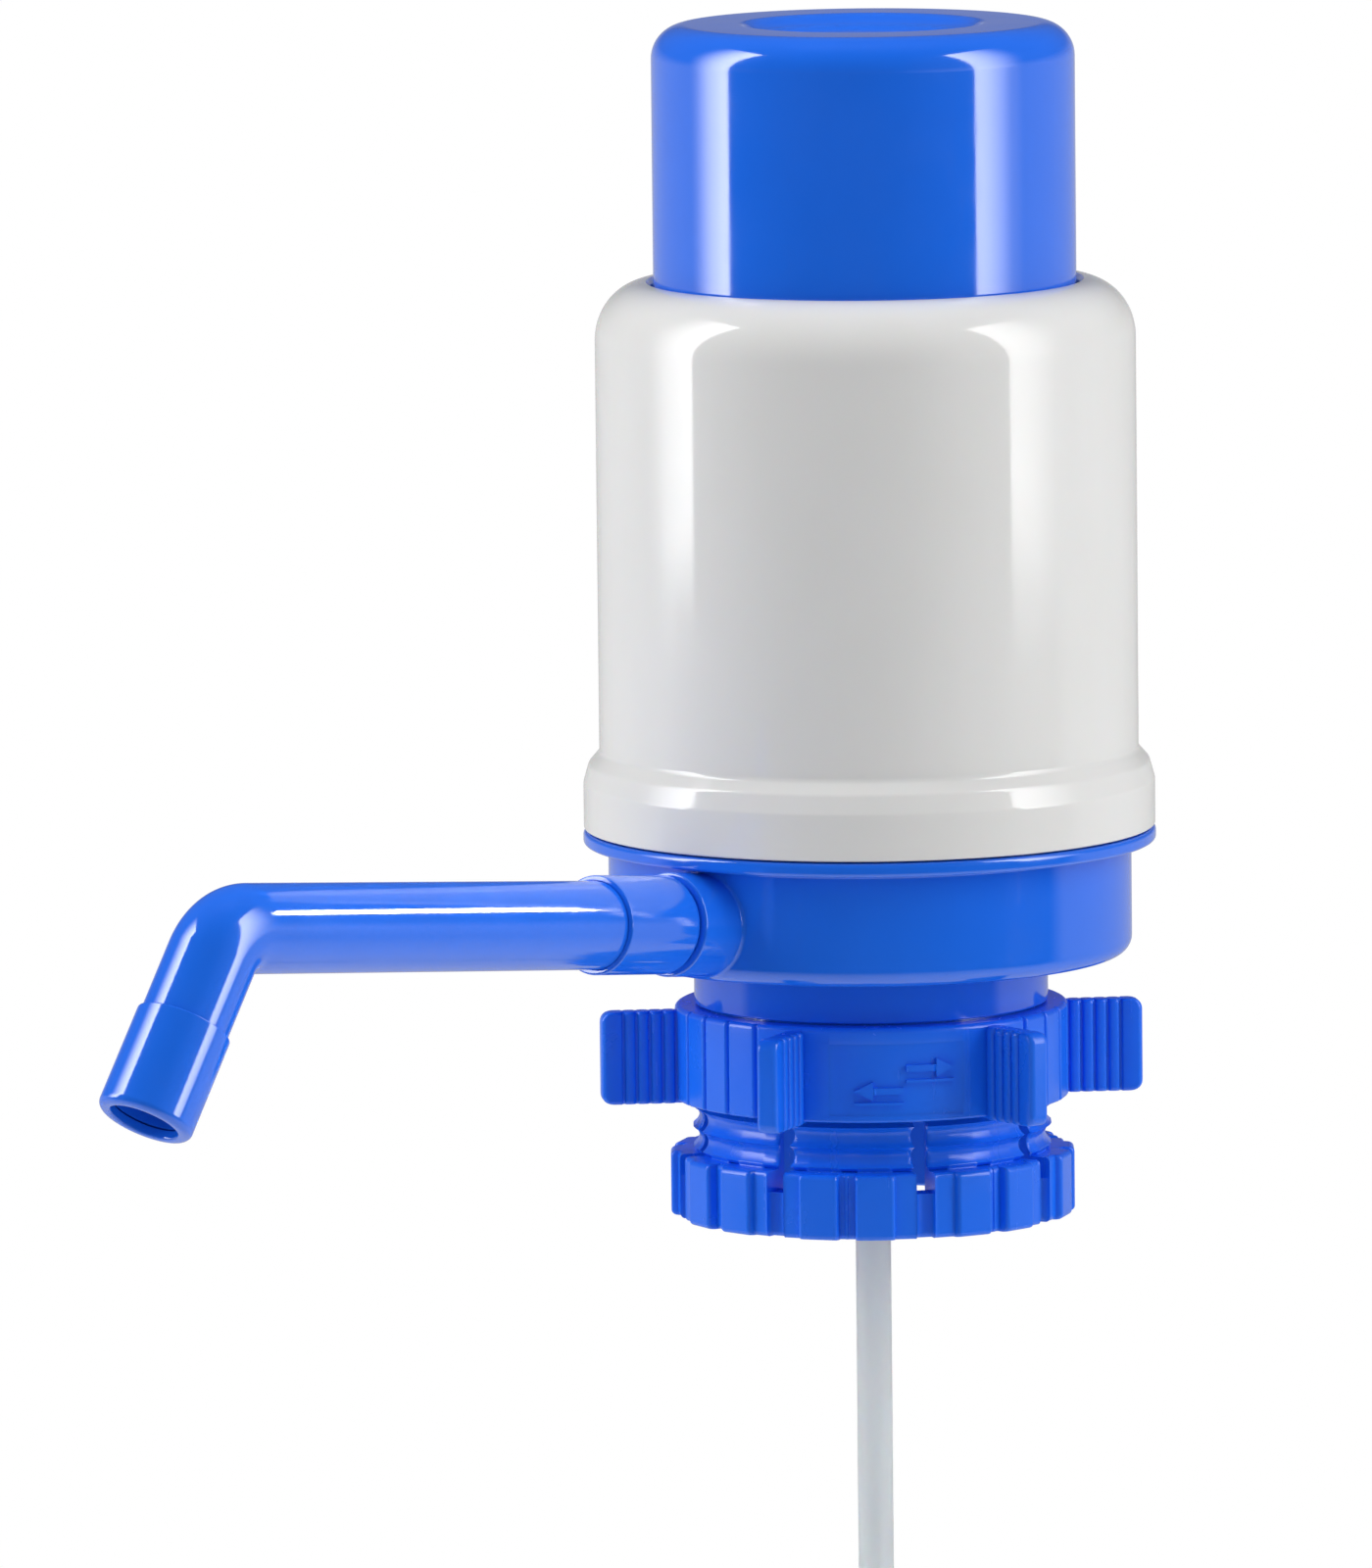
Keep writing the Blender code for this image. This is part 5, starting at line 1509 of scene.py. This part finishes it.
@dataclass
class Collet:
    """Collet: eight threaded fingers on a thick ribbed band."""

    bore: float = 28.0 * MM
    crest: float = 30.6 * MM
    root: float = 29.4 * MM
    pitch: float = 3.5 * MM
    turns: int = 4
    top: float = -12.1 * MM
    band_radius: float = 34.5 * MM
    band_top: float = -27.0 * MM
    bottom: float = -38.1 * MM
    band_rounding: float = 0.9 * MM
    slot_count: int = 8
    first_slot: float = math.radians(-34.5)
    slot_width: float = 3.3 * MM
    slot_floor: float = -30.6 * MM
    web_depth: float = 2.4 * MM
    finger_rounding: float = 0.9 * MM
    facet_edge: float = 0.75 * MM
    facets: tuple[Point, ...] = (
        (3.7, 1.1),
        (5.4, 0.0),
        (2.25, 1.7),
        (0.3, 1.5),
        (1.95, 1.7),
        (5.5, 0.0),
        (0.0, 1.1),
    )
    thread_flare: float = 0.55 * MM
    thread_rise: float = 5.0
    thread_fall: float = 4.0
    thread_lead: float = 0.3 * MM
    thread_share: float = 0.5
    join_inset: float = 0.5 * MM
    join_rise: float = 0.2 * MM
    top_chamfer: float = 0.5 * MM
    block_lean: float = 0.1 * MM

    def rows(self) -> tuple[list[Row], int, int]:
        """Closed loop of the section, and how many rows of it a slot cuts at each end."""
        lead, chamfer, cut = self.top - self.thread_lead, self.top_chamfer, self.thread_share
        found = [Row(self.root - chamfer, self.top, 0.0, cut), Row(self.root, self.top - chamfer, 0.0, cut)]
        for turn in range(self.turns):
            for k in range(THREAD_STEPS):
                share = 0.5 - 0.5 * math.cos(math.pi * k / THREAD_STEPS)
                hollow = (1.0 - (1.0 - share) ** self.thread_rise) * (1.0 - share**self.thread_fall)
                height = lead - self.pitch * (turn + share)
                if height > self.band_top + SOFT:
                    radius = self.crest - (self.crest - self.root) * hollow
                    found.append(Row(radius, height, 0.0, cut, self.thread_flare * (1.0 - hollow)))
        found.append(Row(self.crest - self.join_inset, self.band_top + self.join_rise, 0.0, cut))
        corners = [
            Corner(self.crest - SOFT, self.band_top),
            Corner(self.band_radius, self.band_top, self.band_rounding),
            Corner(self.band_radius, self.slot_floor),
            Corner(self.band_radius, self.bottom, self.band_rounding),
            Corner(self.bore + SOFT, self.bottom),
        ]
        for radius, height in rounded(corners, closed=False):
            share = min(max((radius - self.root) / (self.band_radius - self.root), 0.0), 1.0)
            found.append(Row(radius, height, share**0.5, 0.0))
        heights = [abs(row.height - self.slot_floor) for row in found]
        floor_row = next(i for i, miss in enumerate(heights) if miss < WELD_DISTANCE)
        slotted = [
            Row(self.bore, self.slot_floor),
            Row(self.bore, self.top - chamfer),
            Row(self.bore + chamfer, self.top),
        ]
        return found + [Row(self.bore, self.bottom + SOFT)] + slotted, floor_row + 1, len(slotted)

    def columns(self) -> list[Column]:
        """Columns of two fingers, the second one mirrored, from slot middle to slot middle."""
        sector = math.tau / self.slot_count * self.band_radius
        edge = self.slot_width / 2
        place, depth = edge + self.finger_rounding, self.facets[0][1] * MM
        finger = [Column(0.0, self.web_depth, gap=True), Column(edge, self.web_depth, gap=True)]
        finger += self.finger_edge(edge, depth, 1.0)
        for width, cut in self.facets:
            finger += self.block_edge(place, depth, cut * MM)
            place, depth = place + width * MM, cut * MM
        finger += reversed(self.finger_edge(sector - edge, depth, -1.0))
        finger[-1] = replace(finger[-1], gap=True)
        finger.append(Column(sector - edge, self.web_depth, gap=True))
        finger.append(Column(sector, self.web_depth))
        mirrored = []
        for before, column in zip([Column(0.0), *finger], finger):
            place = 2 * sector - column.place
            mirrored.append(Column(place, column.first, column.second, before.gap, -column.side))
        return finger[:-1] + mirrored[::-1]

    def finger_edge(self, wall: float, depth: float, way: float) -> list[Column]:
        """Rounded edge of a finger, from the slot's wall inwards.

        Args:
            wall: Place of the slot's wall.
            depth: Depth of the relief next to the edge.
            way: 1 where the finger follows the wall, -1 where it ends there.

        Returns:
            The columns in order.
        """
        soft = self.finger_rounding
        found = []
        for turn in EDGE_TURNS:
            back = soft * (1.0 - math.sin(turn))
            place = wall + way * soft * (1.0 - math.cos(turn))
            found.append(Column(place, back + depth * math.sin(turn), back, False, -way * math.cos(turn)))
        return found

    def block_edge(self, place: float, before: float, after: float) -> list[Column]:
        """Step between two depths of the band, rounded where it stands out.

        Args:
            place: Place of the step.
            before: Depth before it.
            after: Depth after it.

        Returns:
            The columns in order.
        """
        soft = min(self.facet_edge, abs(after - before))
        outer, inner = min(before, after), max(before, after)
        edge = [(soft * math.sin(t), outer + soft * (1.0 - math.cos(t))) for t in EDGE_TURNS]
        edge.append((soft + self.block_lean, inner))
        if before < after:
            return [Column(place + along, depth) for along, depth in edge]
        if before > after:
            return [Column(place - along, depth) for along, depth in reversed(edge)]
        return []

    def build(self, paint: Paint, array: Recipe) -> None:
        """Make the collet.

        Args:
            paint: The finishes.
            array: Tree that repeats a moulding round the axis.
        """
        rows, slot_rows, inner_rows = self.rows()
        pair = relief(rows, self.columns(), self.band_radius, slot_rows, inner_rows)
        fingers = piece("collet_moulding", pair)
        pairs = self.slot_count // 2
        step = math.tau / pairs
        finish = paint.of(BLUE_SATIN)
        array.run(fingers, Count=pairs, First_Angle=self.first_slot, Step_Angle=step, Finish=finish)
        paint.dress(fingers, BLUE_SATIN, Body.GRIP, "collet")


# ----- Bellows, spring and dip tube


@dataclass
class Bellows:
    """Bellows under the cap, with rounded folds, and the spring inside it."""

    root: float = 27.5 * MM
    crest: float = 33.0 * MM
    wall: float = 1.2 * MM
    bottom: float = 28.3 * MM
    top: float = 161.2 * MM
    flange_radius: float = 44.3 * MM
    flange_thickness: float = 1.7 * MM
    collar_height: float = 8.0 * MM
    head_height: float = 6.0 * MM
    head_rounding: float = 2.0 * MM
    ceiling_rounding: float = 1.0 * MM
    flange_fillet: float = 0.6 * MM
    folds: int = 8
    fold_rounding: float = 1.6 * MM
    inner_rounding: float = 0.96 * MM
    stroke: float = 36.0 * MM
    spring_coil: float = 18.25 * MM
    spring_wire: float = 0.9 * MM
    spring_turns: float = 9.0
    spring_bottom: float = 5.8 * MM
    spring_top: float = 157.4 * MM

    def section(self) -> list[Point]:
        """Section of the bellows, from the middle of its head down and back up inside."""
        head = self.top - self.head_height
        collar = self.bottom + self.collar_height
        fold = (head - collar) / self.folds
        flange_top = self.bottom + self.flange_thickness
        corners = [Corner(0.0, self.top), Corner(self.root, self.top, self.head_rounding)]
        inside: list[Corner] = []
        for k in range(self.folds):
            high = head - fold * k
            corners.append(Corner(self.root, high, self.fold_rounding))
            corners.append(Corner(self.crest, high - fold / 2, self.fold_rounding))
            inside.append(Corner(self.root - self.wall, high, self.inner_rounding))
            inside.append(Corner(self.crest - self.wall, high - fold / 2, self.inner_rounding))
        corners += [
            Corner(self.root, collar, self.fold_rounding),
            Corner(self.root, flange_top, self.flange_fillet),
            Corner(self.flange_radius, flange_top, SOFT),
            Corner(self.flange_radius, self.bottom),
            Corner(self.root - self.wall, self.bottom),
            Corner(self.root - self.wall, collar),
        ]
        ceiling = self.top - self.wall
        closing = [Corner(self.root - self.wall, ceiling, self.ceiling_rounding), Corner(0.0, ceiling)]
        return rounded(corners + inside[::-1] + closing, closed=False)

    def build(self, paint: Paint, wire: Recipe) -> None:
        """Make the bellows and the spring.

        Args:
            paint: The finishes.
            wire: Tree that winds a spring.
        """
        folds = piece("bellows_folds", turned(self.section(), TUBE_STEPS, closed=False))
        paint.dress(folds, MILKY, Body.PUMP, "bellows")
        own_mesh(folds)
        spring = add_object("spring_coil", bpy.data.meshes.new("spring_coil"))
        height = self.spring_top - self.spring_bottom - 2 * self.spring_wire
        wire.run(
            spring,
            Turns=self.spring_turns,
            Coil_Radius=self.spring_coil,
            Wire_Radius=self.spring_wire,
            Height=height,
            Bottom=self.spring_bottom + self.spring_wire,
            Finish=paint.of(STEEL),
        )
        paint.dress(spring, STEEL, Body.PUMP, "return_spring")
        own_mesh(spring)


@dataclass
class DipTube:
    """Dip tube in three lengths with their joiners and the foot."""

    radius: float = 3.0 * MM
    bore: float = 2.1 * MM
    joiner_play: float = 0.3 * MM
    end_rounding: float = 0.25 * MM

    def build(self, paint: Paint) -> None:
        """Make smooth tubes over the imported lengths, and coat the foot.

        Args:
            paint: The finishes.
        """
        for node in ("dip_tube_upper", "dip_tube_middle", "dip_tube_lower"):
            self.length(paint, node, self.radius, self.bore)
        for node in ("tube_joiner_upper", "tube_joiner_lower"):
            self.length(paint, node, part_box(node)[1].x, self.radius + self.joiner_play)
        paint.coat("tube_foot", BLUE_SATIN)

    def length(self, paint: Paint, node: str, radius: float, bore: float) -> None:
        """Make one smooth tube in place of a packed one.

        Args:
            paint: The finishes.
            node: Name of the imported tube.
            radius: Its outer radius.
            bore: Its inner radius.
        """
        low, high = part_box(node)
        ends = ((bore, high.z), (radius, high.z), (radius, low.z), (bore, low.z))
        corners = [Corner(*end, self.end_rounding) for end in ends]
        tube = piece(f"{node}_wall", turned(rounded(corners), SMALL_STEPS))
        paint.dress(tube, MILKY, Body.PUMP, node)


# ----- Studio and camera


@dataclass
class Camera:
    """Camera at the photograph's place.

    Attributes:
        azimuth: Angle round from -Y towards +X.
        distance: Distance from the pump's axis.
        height: Height of the camera.
        aim_height: Height on the axis that the picture's middle row shows.
        axis_column: Column of the pump's axis in the picture.
        scale: Picture points to a metre at the pump's axis.
        roll: How far the picture's top leans to its left.
        picture: Width and height of the picture in points.
        sensor: Width of the sensor in millimetres, which the picture's long side takes.
        clip: Nearest and furthest distance that the camera sees.
    """

    azimuth: float = math.radians(40.0)
    distance: float = 2700.0 * MM
    height: float = 383.0 * MM
    aim_height: float = 35.5 * MM
    axis_column: float = 887.0
    scale: float = 6000.0
    roll: float = math.radians(0.6)
    picture: tuple[int, int] = (1400, 1600)
    sensor: float = 36.0
    clip: Point = (0.05, 60.0)

    def towards(self) -> Vector:
        """Level direction from the pump's axis to the camera."""
        return Vector((math.sin(self.azimuth), -math.cos(self.azimuth), 0.0))

    def right(self) -> Vector:
        """Level direction to the picture's right."""
        return Vector((math.cos(self.azimuth), math.sin(self.azimuth), 0.0))

    def build(self) -> None:
        """Make the scene's camera."""
        eye = self.towards() * self.distance + UP * self.height
        middle = UP * self.aim_height
        aside = (self.axis_column - self.picture[0] / 2) / self.scale
        aim = middle - self.right() * aside
        forward = (aim - eye).normalized()
        depth = (middle - eye).dot(forward)
        data = bpy.data.cameras.new("photo_camera")
        data.sensor_width = self.sensor
        data.lens = self.scale * depth / max(self.picture) * self.sensor
        data.clip_start, data.clip_end = self.clip
        camera = bpy.data.objects.new("photo_camera", data)
        bpy.context.scene.collection.objects.link(camera)
        camera.location = eye
        lean = Matrix.Rotation(-self.roll, 4, "Z")
        camera.rotation_euler = (forward.to_track_quat("-Z", "Y").to_matrix().to_4x4() @ lean).to_euler()
        bpy.context.scene.camera = camera


@dataclass(frozen=True)
class SoftBox:
    """One studio light: a rectangle that fades away from one of its upright edges.

    Attributes:
        name: Name of the light.
        bearing: Angle from the camera's bearing, to the picture's right.
        height: Height of its middle.
        distance: Distance from the pump's axis.
        size: Width and height.
        power: Power in watts.
        bright_side: Which edge is full strength: -1 left, 1 right, 0 for an even light.
        mirrored: Whether glossy walls mirror it.
        dim_and_full: Strength at the dim edge and at the bright edge of a fading light.
        foot_and_top: Strength at its lower and upper edge.
        beam: Width of its beam in degrees.
        aim: Place that it faces.
        only: Pieces that it lights, or none for all.
    """

    name: str
    bearing: float
    height: float
    distance: float
    size: Point
    power: float
    bright_side: float = 0.0
    mirrored: bool = True
    dim_and_full: Point = (0.04, 2.2)
    foot_and_top: Point = (1.0, 1.1)
    beam: float = 180.0
    aim: tuple[float, float, float] = (0.0, 0.0, 90.0 * MM)
    only: tuple[str, ...] = ()

    def build(self, camera: Camera) -> None:
        """Make the light, facing the pump.

        Args:
            camera: The camera, whose bearing the light's bearing starts from.
        """
        data = bpy.data.lights.new(self.name, "AREA")
        data.shape = "RECTANGLE"
        data.size, data.size_y = self.size
        data.energy = self.power
        data.spread = math.radians(self.beam)
        light = bpy.data.objects.new(self.name, data)
        bpy.context.scene.collection.objects.link(light)
        turn = math.radians(self.bearing)
        level = camera.towards() * math.cos(turn) + camera.right() * math.sin(turn)
        light.location = level * self.distance + UP * self.height
        facing = Vector(self.aim) - light.location
        light.rotation_euler = facing.to_track_quat("-Z", "Y").to_euler()
        light.visible_glossy = self.mirrored
        if self.only:
            receivers = bpy.data.collections.new(self.name)
            for name in self.only:
                receivers.objects.link(bpy.data.objects[name])
            light.light_linking.receiver_collection = receivers
        if self.bright_side:
            self.fade(data)

    def fade(self, data: bpy.types.AreaLight) -> None:
        """Let the light fade towards its dim edge.

        Args:
            data: The light.
        """
        data.use_nodes = True
        nodes = Nodes(data.node_tree)
        place = nodes.add("ShaderNodeNewGeometry").outputs["Parametric"]
        split = nodes.add("ShaderNodeSeparateXYZ", Vector=place).outputs
        ends = self.dim_and_full if self.bright_side < 0 else self.dim_and_full[::-1]
        across = nodes.ramp(split[0], *ends, clear=(0.0, 1.0), interpolation_type="SMOOTHSTEP")
        upwards = nodes.ramp(split[1], *self.foot_and_top, clear=(0.0, 1.0))
        nodes.feed(nodes.tree.nodes["Emission"], Strength=nodes.reckon("MULTIPLY", across, upwards))


@dataclass
class Studio:
    """Pale floor, white backdrop and the soft lights round the pump.

    Attributes:
        floor_height: Height of the floor.
        floor_half: Half the width of the floor.
        floor_colour: Colour of the floor near the pump.
        floor_grain: Width of a patch of even roughness on the floor.
        floor_roughness: Lowest and highest roughness of the floor.
        floor_gleam: Strength of the floor's reflections.
        floor_turn: Distances behind and before the pump between which the mirrored white fades.
        floor_front_share: Share of the floor's mirrored white that is left in front of the pump.
        white_range: Distances at which the floor starts to whiten and is plain white.
        fill: Strength of the soft light from all round.
        glossy_behind: Strength that glossy walls mirror from behind the pump.
        glossy_front: Strength that they mirror from the camera's side.
        glossy_above: Share that is left of both above them.
        glossy_right: Strength that they mirror from the picture's right.
        behind_range: Where the light from behind gives way to the front's, as a cosine to the camera.
        beside_range: Where the light from the right starts and is full, as a cosine to the right.
        above_range: Where the light dims upwards, as a sine.
        boxes: The lights.
    """

    floor_height: float = -460.0 * MM
    floor_half: float = 9.0
    floor_colour: tuple[float, float, float, float] = (0.86, 0.86, 0.86, 1.0)
    floor_grain: float = 60.0 * MM
    floor_roughness: Point = (0.55, 0.65)
    floor_gleam: float = 0.2
    floor_turn: Point = (-0.25, 0.25)
    floor_front_share: float = 0.05
    white_range: Point = (0.35, 1.6)
    fill: float = 0.44
    glossy_behind: float = 0.50
    glossy_front: float = 0.08
    glossy_above: float = 0.22
    glossy_right: float = 0.55
    behind_range: Point = (-0.3, 0.55)
    beside_range: Point = (0.25, 0.85)
    above_range: Point = (-0.05, 0.15)
    boxes: tuple[SoftBox, ...] = (
        SoftBox("left_strip", -92.0, 0.52, 1.1, (0.66, 1.28), 7.8, -1.0),
        SoftBox("right_strip", 79.0, 0.52, 1.1, (0.76, 1.28), 7.3, 1.0),
        SoftBox("overhead", 0.0, 1.45, -0.05, (0.9, 0.5), 5.7, mirrored=False),
        SoftBox(
            "tube_line",
            105.5,
            0.42,
            0.816,
            (0.24, 0.09),
            0.020,
            beam=11.0,
            aim=(0.0, -125.0 * MM, 25.0 * MM),
            only=("spout_collar_moulding", "spout_tube_moulding", "nozzle_sleeve_moulding"),
        ),
    )

    def build(self, camera: Camera) -> None:
        """Make the floor, the backdrop and the lights.

        Args:
            camera: The camera that the lights are set round.
        """
        self.floor(camera)
        self.backdrop(camera)
        for box in self.boxes:
            box.build(camera)
        bpy.context.scene.view_settings.view_transform = "Standard"

    def floor(self, camera: Camera) -> None:
        """Make the floor, which keeps the pump's shadow near it and is plain white further out.

        Args:
            camera: The camera. Glossy walls mirror the white only from beyond the pump.
        """
        surface = bmesh.new()
        bmesh.ops.create_grid(surface, x_segments=8, y_segments=8, size=self.floor_half)
        floor = piece("studio_floor", surface, Matrix.Translation(UP * self.floor_height))
        shader = Shader("studio_floor")
        grain = shader.ramp(shader.noise(self.floor_grain, 2.0), *self.floor_roughness)
        shader.feed(
            shader.main,
            Base_Color=self.floor_colour,
            Roughness=grain,
            Specular_IOR_Level=self.floor_gleam,
        )
        rays = shader.add("ShaderNodeLightPath").outputs
        direct, mirror, through = (rays[f"Is {kind} Ray"] for kind in ("Camera", "Glossy", "Transmission"))
        distance = shader.add("ShaderNodeVectorMath", operation="LENGTH", _0=shader.place).outputs["Value"]
        far = shader.ramp(distance, 0.0, 1.0, self.white_range)
        seen = shader.reckon("MAXIMUM", shader.reckon("MAXIMUM", direct, mirror), through)
        nearer = shader.along(shader.place, camera.towards())
        fading = shader.ramp(nearer, 1.0, self.floor_front_share, self.floor_turn)
        mirrored = shader.reckon("MULTIPLY", fading, self.glossy_behind)
        level = shader.reckon("MAXIMUM", shader.reckon("MAXIMUM", direct, through), mirrored)
        white = shader.add("ShaderNodeEmission", Color=WHITE, Strength=level).outputs[0]
        share = shader.reckon("MULTIPLY", far, seen)
        mixed = shader.add("ShaderNodeMixShader", _0=share, _1=shader.main.outputs[0], _2=white)
        shader.feed(shader.tree.nodes["Material Output"], Surface=mixed.outputs[0])
        floor.data.materials.append(shader.material)

    def backdrop(self, camera: Camera) -> None:
        """Set the world: white where it is seen, and a soft fill that is dimmer behind the camera.

        Args:
            camera: The camera.
        """
        world = bpy.data.worlds.new("studio_backdrop")
        bpy.context.scene.world = world
        world.use_nodes = True
        nodes = Nodes(world.node_tree)
        rays = nodes.add("ShaderNodeLightPath").outputs
        seen = nodes.reckon("MAXIMUM", rays["Is Camera Ray"], rays["Is Transmission Ray"])
        direction = nodes.add("ShaderNodeTexCoord").outputs["Generated"]
        upwards = nodes.add("ShaderNodeSeparateXYZ", Vector=direction).outputs["Z"]
        nearer = nodes.along(direction, camera.towards())
        aside = nodes.along(direction, camera.right())
        behind = nodes.ramp(nearer, self.glossy_behind, self.glossy_front, self.behind_range)
        beside = nodes.ramp(aside, 0.0, self.glossy_right, self.beside_range)
        above = nodes.ramp(upwards, 1.0, self.glossy_above, self.above_range)
        glossy = nodes.reckon("MULTIPLY", nodes.reckon("MAXIMUM", behind, beside), above)
        plain = nodes.add("ShaderNodeMix", _0=rays["Is Glossy Ray"], _2=self.fill, _3=glossy).outputs[0]
        strength = nodes.reckon("MAXIMUM", seen, plain)
        nodes.feed(nodes.tree.nodes["Background"], Color=WHITE, Strength=strength)


def main() -> None:
    """Build the pump's looks piece by piece, then the studio."""
    logging.basicConfig(level=logging.INFO, format="%(name)s: %(message)s")
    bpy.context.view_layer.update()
    paint = Paint()
    array = round_array()
    Plunger().build(paint)
    Housing().build(paint)
    Base().build(paint)
    Spout().build(paint)
    ClampRing().build(paint, array)
    Collet().build(paint, array)
    Bellows().build(paint, coiled_wire())
    DipTube().build(paint)
    camera = Camera()
    camera.build()
    Studio().build(camera)


if __name__ == "__main__":
    main()
